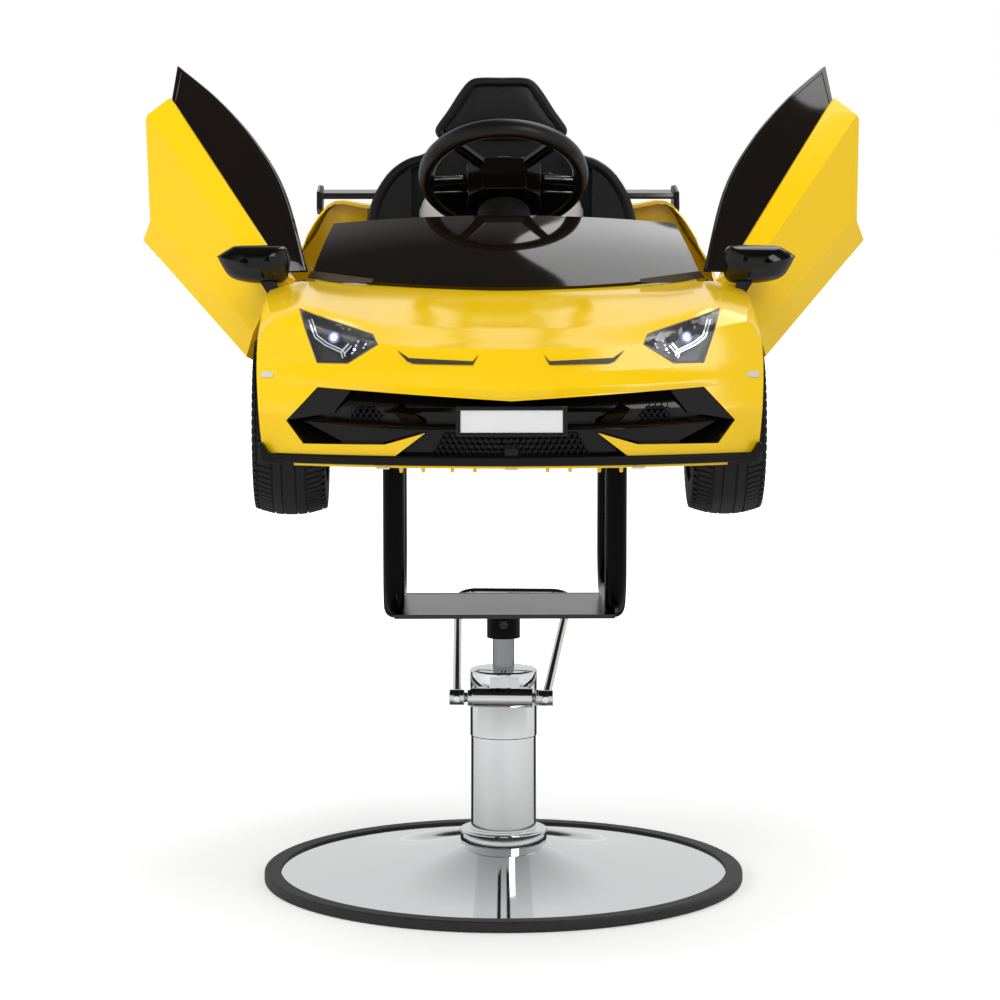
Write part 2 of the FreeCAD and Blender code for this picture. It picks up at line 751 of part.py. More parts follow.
def build_front_body():
    outer = front_form(0)
    inner = front_form(skin)
    side_cut = prism_x(up(fender_edge + [(0, 300), (0, 40)]), cowl_half, far)
    middle_cut = box(-cowl_half, cowl_half, cowl_rear, 100, car_ground, roof)
    below = box(-far, far, -far, 0, car_ground - 60, car_ground + shell_bottom)
    mouth = prism_y(up(mouth_outline), -far, nose_cut_back)
    lights = prism_y(up(headlight_outline), -far, lamp_cut_back)
    shell = outer.cut(inner)
    shell = cut(shell, both_sides(side_cut) + both_sides(lights))
    shell = cut(shell, [middle_cut, below, arch(front_axle_y), mouth])
    jamb_top = car_ground + 300
    jamb_inner = cowl_half - jamb_thickness
    jamb_space = box(jamb_inner, cowl_half, jamb_front, cowl_rear, car_ground + jamb_low, jamb_top)
    jamb = outer.common(jamb_space)
    hinge = mirrored(hinge_lugs())
    bottom = car_ground + pan_height
    flange = outer.common(box(-far, far, -far, pan_front_end + 20, bottom - flange_thickness, bottom))
    flange = flange.cut(arch(front_axle_y, steered_arch_radius))
    web = nose_wall(flange_front, flange_back, pan_height, shell_bottom + skin)
    web = web.common(box(-web_half, web_half, -far, web_back, bottom, car_ground + shell_bottom + skin))
    return shell, flange, [web] + both_sides(jamb) + both_sides(hinge)


def build_lip():
    half = nose_corner_x + 4
    lip = nose_wall(-lip_stand_out, flange_front, pan_height, pan_height + lip_height)
    return lip.common(box(-half, half, -far, trim_cut_back, car_ground, car_ground + pan_height + lip_height))


def comb_cells(outline):
    """Six-sided holes of a honeycomb, in rows, with their middles inside the outline (x, height)."""
    row_step = comb_pitch * math.sin(math.radians(60))
    radius = (comb_pitch - comb_wall) / 2 / math.cos(math.radians(30))
    middle = (outline[0][0] + outline[-1][0]) / 2
    low = min(h for x, h in outline)
    high = max(h for x, h in outline)
    reach = int(max(abs(x - middle) for x, h in outline) / comb_pitch)
    face = polygon([Vector(x, 0, h) for x, h in outline])
    corners = [(math.sin(math.radians(60 * k)), math.cos(math.radians(60 * k))) for k in range(6)]
    cells = []
    for row in range(int((high - low) / row_step)):
        for column in range(-reach, reach + 1):
            x = middle + comb_pitch * (column + 0.5 * (row % 2))
            h = low + row_step * (row + 0.5)
            if face.isInside(Vector(x, 0, h), 0.1, True):
                cell = [(x + radius * across, h + radius * rise) for across, rise in corners]
                cells.append(prism_y(up(cell), -far, nose_cut_back))
    return Part.makeCompound(cells)


def build_grille():
    """The mouth insert: a curved back panel with honeycomb patches, a long blade and leaning ribs."""
    mouth = prism_y(up(mouth_outline), -far, nose_cut_back)
    panel = nose_wall(grille_front, grille_back, grille_low, grille_high)
    panel = panel.common(prism_y(up(grown(mouth_outline, 6)), -far, nose_cut_back))
    combs = [comb_cells(lower_comb)] + both_sides(comb_cells(side_comb))
    blade = nose_wall(blade_front, grille_rib_back, blade_low, blade_high).common(mouth)
    slab = nose_wall(grille_rib_front, grille_rib_back, blade_low, grille_high)
    ribs = []
    for x in rib_places:
        rib_outline = [(x, blade_high), (x + 6, blade_high), (x + 26, 146), (x + 20, 146)]
        rib = prism_y(up(rib_outline), -far, nose_cut_back)
        ribs.extend(both_sides(rib.common(slab)))
    return fuse([cut(panel, combs), blade] + ribs)


def build_front():
    shell, flange, inner_walls = build_front_body()
    pegs = []
    for x in peg_places:
        peg_top = car_ground + pan_height - flange_thickness
        place = upright(peg_radius, car_ground + peg_low, peg_top, x, peg_y)
        pegs.extend(both_sides(place))
    save("front_lip", build_lip())
    pin_bore = hinge_cylinder(hinge_pin_radius, hinge_low - 10, hinge_top + 2)
    body = cut(fuse([shell, flange] + inner_walls + pegs), [pin_bore, mirrored(pin_bore)])
    save("front_body_shell", body)
    save("front_grille", build_grille())

    plate_front = nose_y - plate_stand_out
    low = car_ground + plate_low
    high = car_ground + plate_high
    holder = box(-plate_half, plate_half, plate_front, plate_front + plate_depth, low, high)
    inner_half = plate_half - plate_frame
    recess = box(-inner_half, inner_half, plate_front - 1, plate_front + plate_recess, low + plate_frame,
                 high - plate_frame)
    save("number_plate", holder.cut(recess))

    # headlights: a lens flush with the wing and a dished housing behind it
    light = prism_y(up(headlight_outline), -far, lamp_cut_back)
    outer = front_form(0)
    lens = outer.cut(front_form(lens_wall)).common(light)
    big_light = prism_y(up(grown(headlight_outline, lamp_ledge)), -far, lamp_cut_back)
    housing_skin = front_form(skin).cut(front_form(skin + lamp_depth)).common(big_light)
    dish = front_form(skin - 1).cut(front_form(skin + lamp_depth - lamp_wall)).common(light)
    save("headlight_lenses", *both_sides(largest(lens)))
    save("headlight_housings", *both_sides(housing_skin.cut(dish)))

    trim = prism_y(up(trim_outline), -far, trim_cut_back)
    strip = front_form(-trim_stand_out).cut(front_form(0)).common(trim)
    save("hood_trims", *both_sides(strip))


sill_wall = 4.0


def build_sills():
    top = sill_height - 2
    wall = sill_wall
    outline = [(205, pan_height), (262, pan_height), (268, 118), (265, top), (205, top)]
    low = pan_height - 1
    high = top - wall
    inside = [(205 + wall, low), (262 - wall, low), (267 - wall, 118), (264 - wall, high), (205 + wall, high)]
    front = front_axle_y + steered_arch_radius
    rear = rear_axle_y - arch_radius + 6
    sill = prism_y(up(outline), front, rear).cut(prism_y(up(inside), front + wall, rear - wall))
    sill = cut(sill, [arch(front_axle_y), arch(rear_axle_y)])
    pan_side = prism_z(pan_outline(0), car_ground, car_ground + pan_height + pan_thickness)
    save("side_sills", *both_sides(sill.cut(pan_side)))


# ---- Rear body ----
cover_gap = 0.5
cover_stand_out = 2.0
cover_wall_depth = 6.0
louvre_count = 5
louvre_start = 34.0
louvre_pitch = 32.0
louvre_width = 12.0
louvre_margin = 22.0
tail_light_wall = 3.0
bumper_wall = 5.0
diffuser_fins = (-120, -60, 0, 60, 120)
diffuser_fin_half = 2.0
diffuser_fin_top = 112.0
deck_half = 128.0
deck_front = 236.0
deck_rear = 430.0
cockpit_half = 190.0
cockpit_rear = 222.0
tail_light_outline = [(120, 238), (215, 222), (236, 200), (212, 206), (180, 190), (184, 214), (120, 222)]
diffuser_outline = [(-238, 150), (238, 150), (214, 112), (190, pan_height), (-190, pan_height), (-214, 112)]


def build_rear():
    outer = rear_form(0)
    shell = outer.cut(rear_form(skin))
    rear_side = prism_x(up([(0, 40)] + rear_edge + [(0, 400)]), -far, far)
    cockpit = box(-cockpit_half, cockpit_half, 0, cockpit_rear, car_ground + 100, roof)
    deck = box(-deck_half, deck_half, deck_front, deck_rear, car_ground + deck_cut_low, roof)
    tail = prism_y(up(tail_light_outline), 450, far)
    diffuser = prism_y(up(diffuser_outline), 470, far)
    below = box(-far, far, 0, far, car_ground - 60, car_ground + pan_height)
    tools = [rear_side, cockpit, deck, arch(rear_axle_y), tail, mirrored(tail), diffuser, below]
    save("rear_body_shell", largest(cut(shell, tools)))
    save("engine_cover", build_engine_cover())

    tail_skin = outer.cut(rear_form(tail_light_wall)).common(tail)
    save("tail_lights", *both_sides(largest(tail_skin)))

    bumper = outer.cut(rear_form(bumper_wall)).common(diffuser)
    fins = []
    for x in diffuser_fins:
        fins.append(box(x - diffuser_fin_half, x + diffuser_fin_half, pan_rear_end, tail_y - 1,
                        car_ground + pan_height, car_ground + diffuser_fin_top))
    save("rear_bumper", fuse([largest(bumper)] + fins))


def build_engine_cover():
    """A panel let into the deck with a row of louvres, on a ledge that hooks below the deck."""
    half = deck_half - cover_gap
    cover_low = car_ground + deck_cut_low
    place = box(-half, half, deck_front + cover_gap, deck_rear - cover_gap, cover_low, roof)
    cover = rear_form(-cover_stand_out).cut(rear_form(cover_wall_depth)).common(place)
    slots = []
    for index in range(louvre_count):
        y = deck_front + louvre_start + index * louvre_pitch
        leaning = [(y, car_ground), (y + louvre_width, car_ground), (y + 2 * louvre_width, car_ground + 500),
                   (y + louvre_width, car_ground + 500)]
        slots.append(prism_x(leaning, -deck_half + louvre_margin, deck_half - louvre_margin))
    return fuse([cut(cover, slots), cover_ledge()])


def cover_ledge():
    edge = 4.0
    margin = 8.0
    outer = box(-deck_half - edge, deck_half + edge, deck_front - edge, deck_rear + edge, car_ground + 260,
                car_ground + 400)
    inner = box(-deck_half + margin, deck_half - margin, deck_front + margin, deck_rear - margin,
                car_ground + 200, car_ground + 500)
    return rear_form(skin).cut(rear_form(skin + 3)).common(outer).cut(inner)


wing_bar = [(455, 333), (466, 338), (505, 342), (505, 339), (470, 332), (458, 330)]
wing_plate = [(444, 318), (450, 340), (512, 348), (515, 330), (500, 312), (460, 310)]
wing_strut = [(440, 270), (472, 262), (488, 336), (470, 334)]
wing_half = 238.0
wing_plate_thickness = 2.0
wing_strut_x = 96.0
wing_strut_half = 3.0


def build_wing():
    bar = prism_x(up(wing_bar), -wing_half, wing_half)
    plate = prism_x(up(wing_plate), wing_half - wing_plate_thickness, wing_half + wing_plate_thickness)
    strut = prism_x(up(wing_strut), wing_strut_x - wing_strut_half, wing_strut_x + wing_strut_half)
    strut = max(strut.cut(rear_form(0)).Solids, key=lambda solid: solid.BoundBox.ZMax)
    save("rear_wing", fuse([bar] + both_sides(plate) + both_sides(strut)))


# ---- Windshield and dashboard ----
windshield_depth = Vector(0, 2.4, -3.4)


glass_base_corner = (221, -184, 258)
glass_base_middle = (0, -235, 246)
glass_top_corner = (200, -62, 313)
glass_top_middle = (0, -84, 323)


def bowed_edge(corner, middle):
    """An arc from side to side through a middle point; x, y and height above the car's ground."""
    x, y, h = corner
    ends = [Vector(side * x, y, car_ground + h) for side in (-1, 1)]
    peak = Vector(middle[0], middle[1], car_ground + middle[2])
    return Part.Arc(ends[0], peak, ends[1]).toShape()


def build_windshield():
    base = bowed_edge(glass_base_corner, glass_base_middle)
    top = bowed_edge(glass_top_corner, glass_top_middle)
    sheet = Part.makeRuledSurface(base, top)
    save("windshield", sheet.extrude(windshield_depth))


dash_top = [(-188, 236), (-150, 252), (-120, 252), (-104, 232), (-112, 160)]
dash_hollow = [(-188.5, 195), (-184, 234), (-149, 248), (-122, 248), (-108, 231), (-116, 164), (-150, 155)]
dash_half = 200.0
dash_wall = 4.0
cheek_width = 6.0
shroud_small = 31.0
shroud_large = 40.0
power_radius = 8.0
power_x = 95.0
power_z = car_ground + 200.0
power_face_y = -95.0
power_back_y = -114.0


def build_dashboard():
    inner = prism_x(up(dash_hollow), -dash_half + dash_wall, dash_half - dash_wall)
    dash = prism_x(up([(-188, 200)] + dash_top + [(-150, 150)]), -dash_half, dash_half).cut(inner)
    floor_top = pan_height + pan_thickness
    cheek_outline = [(-188, floor_top)] + dash_top + [(-130, floor_top)]
    cheek = prism_x(up(cheek_outline), dash_half - cheek_width, dash_half)
    dash = fuse([dash] + both_sides(cheek))
    shroud_top = steering_centre - steering_axis * (steering_hub_depth + 8)
    shroud_end = steering_centre - steering_axis * 175
    run = shroud_end - shroud_top
    cone = Part.makeCone(shroud_small, shroud_large, run.Length, shroud_top, run)
    dash = fuse([dash, cone.cut(inner)])
    column_end = steering_centre - steering_axis * 400
    dash = dash.cut(cylinder(column_radius + running_gap, steering_centre, column_end))
    pod = cylinder(power_radius + 5, Vector(power_x, power_back_y - 10, power_z),
                   Vector(power_x, power_face_y - 5, power_z))
    bore = cylinder(power_radius + running_gap, Vector(power_x, power_back_y - 5, power_z),
                    Vector(power_x, power_face_y + 5, power_z))
    save("dashboard", fuse([dash, pod.cut(inner)]).cut(bore))
    button_back = Vector(power_x, power_back_y, power_z)
    button = cylinder(power_radius, button_back, Vector(power_x, power_face_y, power_z))
    face_edge = [e for e in button.Edges if abs(e.BoundBox.YMin - power_face_y) < 0.01]
    save("power_button", button.makeFillet(1.0, face_edge))


# ---- Seat ----
seat_top = 411.0
seat_middle_half = 130.0
bolster_inner = 112.0
bolster_outer = 166.0
insert_half = 108.0
headrest_front = 168.0
headrest_back = 206.0
headrest_round = 4.0
seat_profile = [
    (8, 150), (8, 176), (24, 186), (140, 180), (158, 200), (176, 300), (182, seat_top), (206, seat_top),
    (208, 300), (200, 150),
]
bolster_profile = [
    (8, 150), (8, 186), (40, 214), (120, 218), (140, 260), (152, 330), (160, seat_top), (206, seat_top),
    (208, 300), (200, 150),
]
insert_profile = [
    (140, 180), (158, 200), (176, 300), (182, 396), (188, 396), (182, 300), (164, 198), (146, 176),
]
seat_half_outline = [
    (166, 140), (166, 312), (158, 341), (142, 366), (122, 381), (100, 388), (84, 400), (78, seat_top),
]
headrest_half_outline = [(82, seat_top), (88, 420), (48, 478), (38, 484)]


def both_halves(half_outline):
    return half_outline + [(-x, h) for x, h in reversed(half_outline)]


def build_seat():
    shell = prism_x(up(seat_profile), -seat_middle_half, seat_middle_half)
    bolster = prism_x(up(bolster_profile), bolster_inner, bolster_outer)
    outline = prism_y(up(both_halves(seat_half_outline)), -50, 260)
    seat = fuse([shell, bolster, mirrored(bolster)]).common(outline)
    insert = prism_x(up(insert_profile), -insert_half, insert_half)
    save("seat_shell", seat.cut(insert))
    save("seat_insert", insert)
    head = prism_y(up(both_halves(headrest_half_outline)), headrest_front, headrest_back)
    corners = [e for e in head.Edges if along_y(e) and e.Vertexes[0].Point.z > car_ground + seat_top + 4]
    save("headrest", head.makeFillet(headrest_round, corners))


mirror_outline = [
    (243, 262), (246, 290), (300, 292), (318, 282), (325, 270), (316, 258), (296, 250), (256, 250),
]
mirror_recess = [
    (250, 264), (252, 286), (298, 288), (312, 280), (318, 270), (311, 261), (295, 255), (259, 255),
]
mirror_stalk = [(252, 236), (268, 228), (284, 252), (262, 252)]
mirror_front = -246.0
mirror_back = -204.0
mirror_recess_depth = 2.0
mirror_round = 5.0
stalk_front = -236.0
stalk_back = -212.0


# ---- Mirrors ----
def build_mirrors():
    pod = prism_y(up(mirror_outline), mirror_front, mirror_back)
    front_edges = [e for e in pod.Edges if e.BoundBox.YMax < mirror_front + 0.01]
    pod = pod.makeFillet(mirror_round, front_edges)
    recess = prism_y(up(mirror_recess), mirror_back - mirror_recess_depth, mirror_back + 4)
    stalk = prism_y(up(mirror_stalk), stalk_front, stalk_back)
    pod = fuse([pod.cut(recess), stalk]).cut(front_form(0))
    save("mirror_housings", *both_sides(largest(pod)))


# ---- Doors ----
def turned_door(shape, side):
    """Open the left door about its hinge; the right door is its mirror image."""
    opened = shape.copy()
    opened.rotate(hinge_point, hinge_direction, door_open_angle)
    return opened if side == "left" else mirrored(opened)


def door_section(y, outer, thickness):
    inner = [(x + thickness, h) for x, h in reversed(outer)]
    points = [Vector(x, y, car_ground + h) for x, h in outer + inner]
    return Part.makePolygon(points + [points[0]])


def belt_at(y):
    share = (y - door_belt_front.y) / (door_belt_rear.y - door_belt_front.y)
    return door_belt_front + (door_belt_rear - door_belt_front) * share


def door_block(thickness, x_shift):
    sections = []
    for y, points in door_sections:
        belt = belt_at(y)
        outer = [(x + x_shift, h) for x, h in points] + [(belt.x + x_shift, belt.z)]
        sections.append(door_section(y, outer, thickness))
    return Part.makeLoft(sections, True, True)


def build_doors():
    block = door_block(door_thickness, 0)
    outline = prism_x(up(door_panel_outline), -far, 0)
    panel = block.common(outline)
    centre_y = sum(y for y, h in door_panel_outline) / len(door_panel_outline)
    centre_h = sum(h for y, h in door_panel_outline) / len(door_panel_outline)
    pocket_outline = []
    for y, h in door_panel_outline:
        run = math.hypot(y - centre_y, h - centre_h)
        share = 1 - door_frame_width / run
        pocket_outline.append((centre_y + (y - centre_y) * share, centre_h + (h - centre_h) * share))
    pocket = door_block(door_thickness + 10, door_skin).common(prism_x(up(pocket_outline), -far, 0))
    panel = panel.cut(pocket)
    panel = panel.cut(arch(front_axle_y))
    ear_low = hinge_low + hinge_lug_length + seat_gap
    ear_high = ear_low + hinge_ear_length
    ear = hinge_cylinder(hinge_lug_radius, ear_low, ear_high)
    ear = fuse([ear, box(-250, -236, -190, -172, car_ground + 222, car_ground + 240)])
    ear = ear.cut(hinge_cylinder(hinge_lug_radius + 20, ear_high, ear_high + 40))
    ear = ear.cut(hinge_cylinder(hinge_lug_radius + 20, ear_low - 40, ear_low))
    lug_space = [hinge_cylinder(hinge_lug_radius + 1, ear_low - 60, ear_low),
                 hinge_cylinder(hinge_lug_radius + 1, ear_high, ear_high + 40)]
    panel = cut(panel, lug_space)

    belt_start = belt_at(window_front) + Vector(3, 0, 0)
    belt_end = belt_at(186) + Vector(3, 0, 0)
    lower = Part.makeLine(belt_start + Vector(0, 0, car_ground), belt_end + Vector(0, 0, car_ground))
    crown_line = Part.BSplineCurve()
    crown_line.interpolate([Vector(x, y, car_ground + h) for x, y, h in window_roof])
    window = Part.makeRuledSurface(lower, crown_line.toShape()).extrude(Vector(window_thickness, 0, 0))
    window = cut(window, lug_space)
    panel = fuse([panel, ear]).cut(hinge_cylinder(hinge_pin_radius + running_gap, hinge_low - 10, 10))
    for side in ("left", "right"):
        save("door_" + side + "_panel", turned_door(panel, side))
        save("door_" + side + "_window", turned_door(window, side))


def build_hinge_pins():
    pin = hinge_cylinder(hinge_pin_radius, hinge_low - 2, hinge_top + 1)
    save("door_hinge_pins", *both_sides(pin))


# ---- Steering wheel, column, linkage ----
def build_steering():
    torus = Part.makeTorus(steering_rim_radius, steering_grip_radius)
    spokes = []
    for degrees in spoke_angles:
        width = wide_spoke if degrees in (8, 172) else narrow_spoke
        spoke = box(20, steering_rim_radius, -width / 2, width / 2, -9, -3)
        spoke.rotate(Vector(0, 0, 0), Vector(0, 0, 1), degrees)
        spokes.append(spoke)
    half_w = steering_hub_width / 2
    half_h = steering_hub_height / 2
    right = [(half_w - hub_corner, -half_h), (half_w, -half_h + hub_corner), (half_w, half_h - hub_corner),
             (half_w - hub_corner, half_h)]
    hub = prism_z(both_halves(right), -steering_hub_depth, -2)
    pad = upright(horn_pad_radius, -2, 8)
    wheel = fuse([torus] + spokes + [hub, pad])
    socket = upright(column_radius, -steering_hub_depth - 1, -10)
    horn_bore = upright(horn_radius + running_gap, 2, 20)
    wheel = cut(wheel, [socket, horn_bore])
    button_pod = upright(music_pod_radius, -9, 3, music_x, music_y)
    wheel = fuse([wheel, button_pod]).cut(upright(music_radius + running_gap, -4, 10, music_x, music_y))
    horn = upright(horn_radius, 5.2, 12)
    horn = horn.makeFillet(2, [e for e in horn.Edges if abs(e.BoundBox.ZMin - 12) < 0.01])
    music = upright(music_radius, -0.8, 6, music_x, music_y)
    shaft = upright(column_radius, -column_length, -10)
    crank = box(-9, 9, -crank_length - 8, 9, -column_length - 8, -column_length)
    crank = crank.fuse(upright(crank_pin_radius, -crank_pin_end, -column_length, 0, -crank_length))
    placement = FreeCAD.Placement(steering_centre, FreeCAD.Rotation(Vector(0, 0, 1), steering_axis))
    for name, shape in (("steering_wheel", wheel), ("horn_button", horn), ("music_button", music),
                        ("steering_shaft", fuse([shaft, crank]))):
        moved = shape.copy()
        moved.Placement = placement
        save(name, moved)


crank_pin_drop = steering_centre.z - axle_z - tie_rod_rise
crank_pin_depth = crank_pin_drop * steering_axis.z - crank_pin_y * steering_axis.y
crank_length = -(crank_pin_y * steering_axis.z + crank_pin_drop * steering_axis.y)
column_length = crank_pin_depth - 46
crank_pin_end = crank_pin_depth + 11


def build_linkage():
    rod_z = axle_z + tie_rod_rise
    half = tie_rod_half
    low = rod_z - 10
    high = rod_z + 10
    pin_gap = crank_pin_radius + seat_gap
    rod = cylinder(tie_rod_radius, Vector(-kingpin_x, tie_rod_y, rod_z), Vector(kingpin_x, tie_rod_y, rod_z))
    for side in (-1, 1):
        x = side * kingpin_x
        pad = box(x - 10, x + 10, tie_rod_y - 10, tie_rod_y + 16, rod_z - half, rod_z + half)
        slot = box(x - pin_gap, x + pin_gap, tie_rod_y - pin_gap, tie_rod_y + 6 + pin_gap, low, high)
        rod = fuse([rod, pad]).cut(slot)
    leg = box(-15, 15, tie_rod_y, crank_pin_y + 34, rod_z - half, rod_z + half)
    slot_half = crank_pin_radius + 2
    crank_slot = box(-slot_half, slot_half, crank_pin_y - 11, crank_pin_y + 27, low, high)
    save("tie_rod", fuse([rod, leg]).cut(crank_slot))

    block = box(kingpin_x - 12, kingpin_x + 12, front_axle_y - 12, front_axle_y + 12, axle_z - knuckle_half,
                axle_z + knuckle_half)
    pin_low = axle_z - knuckle_half - 10
    pin_high = axle_z + knuckle_half + 9
    pin = upright(kingpin_radius, pin_low, pin_high, kingpin_x, front_axle_y)
    stub = cylinder(axle_radius, Vector(kingpin_x, front_axle_y, axle_z),
                    Vector(wheel_x + wheel_width / 2 - 6, front_axle_y, axle_z))
    shoulder = cylinder(nut_radius, Vector(kingpin_x, front_axle_y, axle_z),
                        Vector(wheel_x - wheel_width / 2 - 2, front_axle_y, axle_z))
    arm = box(kingpin_x - 5, kingpin_x + 5, tie_rod_y - 6, front_axle_y, axle_z + 7, axle_z + knuckle_half)
    arm_pin = upright(crank_pin_radius, axle_z + 7, axle_z + tie_rod_rise + 8, kingpin_x, tie_rod_y)
    knuckle = fuse([block, pin, stub, shoulder, arm, arm_pin])
    nut = ring_on_axle(front_axle_y)
    save("knuckle_right", knuckle.cut(nut), nut)
    save("knuckle_left", mirrored(knuckle.cut(nut)), mirrored(nut))

    right_end = Vector(axle_end, rear_axle_y, axle_z)
    axle = cylinder(axle_radius, mirror_point(right_end), right_end)
    rear_nut = ring_on_axle(rear_axle_y)
    save("rear_axle", axle, rear_nut, mirrored(rear_nut))


axle_end = wheel_x + wheel_width / 2 - 6
hub_face = wheel_x + wheel_width / 2 - 16


def ring_on_axle(y):
    nut = cylinder(nut_radius, Vector(hub_face + seat_gap, y, axle_z), Vector(hub_face + 6, y, axle_z))
    return nut.cut(cylinder(axle_radius, Vector(0, y, axle_z), Vector(400, y, axle_z)))


# ---- Wheels ----
def wheel_profile(points):
    return polygon([Vector(x, 0, r) for x, r in points])


tread_groove_inner = 6.0
tread_groove_outer = 10.0
tread_groove_depth = 3.0
shoulder_rib_inner = 20.0
shoulder_rib_outer = 22.5
shoulder_rib_depth = 2.0
window_count = 5
window_low = 26.0
window_low_half = 9.0
window_high_half = 15.0


def tread_half():
    """Tyre outline (across, radius) from the middle of the tread to its outer bead."""
    half = wheel_width / 2
    groove = wheel_radius - tread_groove_depth
    rib = wheel_radius - shoulder_rib_depth
    return [
        (tread_groove_inner, wheel_radius), (tread_groove_inner, groove), (tread_groove_outer, groove),
        (tread_groove_outer, wheel_radius), (shoulder_rib_inner, wheel_radius - 0.3), (shoulder_rib_inner, rib),
        (shoulder_rib_outer, rib), (shoulder_rib_outer, wheel_radius - 0.4), (half - 14, wheel_radius - 0.6),
        (half - 5, wheel_radius - 4), (half, wheel_radius - 12), (half, rim_radius),
    ]


def build_wheel(name, side, y):
    half = wheel_width / 2
    outer_half = tread_half()
    inner_half = [(-across, radius) for across, radius in reversed(outer_half)]
    tyre = revolve(wheel_profile(inner_half + outer_half), Vector(0, 0, 0), Vector(1, 0, 0))
    inner_hub = -half + seat_gap
    bore = axle_radius + running_gap
    rim = [
        (-half + 4, rim_radius), (half, rim_radius), (half, rim_radius - 4), (half - 16, rim_radius - 9),
        (half - 18, hub_wheel_radius + 2), (half - 16, hub_wheel_radius), (half - 16, bore), (inner_hub, bore),
        (inner_hub, hub_wheel_radius), (half - 24, hub_wheel_radius), (half - 26, rim_radius - 10),
        (-half + 4, rim_radius - 5),
    ]
    centre = revolve(wheel_profile(rim), Vector(0, 0, 0), Vector(1, 0, 0))
    windows = []
    window_high = rim_radius - 14
    for index in range(window_count):
        window = prism_x([(-window_low_half, window_low), (window_low_half, window_low),
                          (window_high_half, window_high), (-window_high_half, window_high)], 0, half + 2)
        window.rotate(Vector(0, 0, 0), Vector(1, 0, 0), 360 / window_count * index)
        windows.append(window)
    centre = cut(centre, windows)
    for node, shape in (("tyre_" + name, tyre), ("rim_" + name, centre)):
        moved = shape.copy()
        if side < 0:
            moved = mirrored(moved)
        moved.translate(Vector(side * wheel_x, y, axle_z))
        save(node, moved)


build_base()
build_pump()
build_lever()
build_piston()
build_frame()
build_floor()
build_front()
build_sills()
build_rear()
build_wing()
build_windshield()
build_dashboard()
build_seat()
build_mirrors()
build_doors()
build_hinge_pins()
build_steering()
build_linkage()
build_wheel("front_left", -1, front_axle_y)
build_wheel("front_right", 1, front_axle_y)
build_wheel("rear_left", -1, rear_axle_y)
build_wheel("rear_right", 1, rear_axle_y)

for name, shape in nodes.items():
    if not shape.isValid():
        print("not valid:", name)
print(len(nodes), "nodes")
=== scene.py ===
# %% [markdown]
# # A child's salon chair, dressed in Blender
# The chair is a moulded ride-on car on a hydraulic pump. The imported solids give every
# piece its place, and this lesson gives the pieces their finished forms and materials.
# Sizes are written in millimetres and one helper turns them to Blender's metres. +Z is
# up and the car looks towards -Y.

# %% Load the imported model
import json
import math
import bmesh
import bpy
from mathutils import Matrix, Vector
from mathutils.bvhtree import BVHTree


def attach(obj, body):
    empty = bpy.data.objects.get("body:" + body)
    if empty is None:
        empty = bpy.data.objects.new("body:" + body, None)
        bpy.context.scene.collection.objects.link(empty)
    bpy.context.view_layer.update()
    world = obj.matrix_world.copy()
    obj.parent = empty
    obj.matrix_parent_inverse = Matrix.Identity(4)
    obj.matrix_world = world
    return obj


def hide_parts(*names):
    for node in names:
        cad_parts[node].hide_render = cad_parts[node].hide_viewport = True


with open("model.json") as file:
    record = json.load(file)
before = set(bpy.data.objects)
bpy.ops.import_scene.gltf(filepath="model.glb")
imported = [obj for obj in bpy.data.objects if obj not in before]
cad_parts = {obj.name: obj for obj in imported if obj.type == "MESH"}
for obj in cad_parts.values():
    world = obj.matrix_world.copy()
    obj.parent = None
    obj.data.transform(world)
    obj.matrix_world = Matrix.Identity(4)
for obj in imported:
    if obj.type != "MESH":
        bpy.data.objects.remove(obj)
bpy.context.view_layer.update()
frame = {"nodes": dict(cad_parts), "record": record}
nodes = frame["nodes"]
MM = 0.001
GROUND = 482            # the level that the car's own wheels would stand on
WHEEL_RADIUS = 100      # also the height of the axles over that level
AXLE_Y = 325            # the axles lie this far before and behind the pump
WHEEL_X = 238           # the middle of each wheel
print("nodes:", len(nodes))


# %% Places on the car
def on_car(x, y, h):
    """A place in metres, from millimetres and a height over the wheels' level."""
    return Vector((x, y, h + GROUND)) * MM


# %% [markdown]
# ## Camera
# The chair is seen from the front, a little above the level of the wheels, by a long
# lens. A long lens keeps the bonnet and the base in nearly the same scale.

# %% Camera
VIEW_TURN = math.radians(-0.9)
VIEW_DISTANCE = 4.0
VIEW_HEIGHT = 0.9025
VIEW_DROP = math.radians(6.294)

camera_data = bpy.data.cameras.new("camera")
camera_data.lens = 120.59
camera_data.sensor_width = 36
camera_data.shift_x = -0.0035
camera = bpy.data.objects.new("camera", camera_data)
camera.location = (VIEW_DISTANCE * math.sin(VIEW_TURN), -VIEW_DISTANCE * math.cos(VIEW_TURN), VIEW_HEIGHT)
camera.rotation_euler = (math.pi / 2 - VIEW_DROP, 0, VIEW_TURN)
bpy.context.scene.collection.objects.link(camera)
bpy.context.scene.camera = camera
bpy.context.scene.view_settings.view_transform = "Standard"
print("camera at", [round(c, 3) for c in camera.location])


# %% [markdown]
# ## One helper for shader nodes
# Every material below is a small network. One function adds a node, fills its sockets
# and links it, so that a recipe reads from top to bottom like a list of steps.

# %% Node helper, colours and a blank material
def add_node(tree, kind, values=None, links=None, output=0, **settings):
    """Add a node with its settings, values and links, and return one of its outputs."""
    node = tree.nodes.new(kind)
    for name, value in settings.items():
        setattr(node, name, value)
    for socket, value in (values or {}).items():
        node.inputs[socket].default_value = value
    for socket, source in (links or {}).items():
        tree.links.new(source, node.inputs[socket])
    return node.outputs[output]


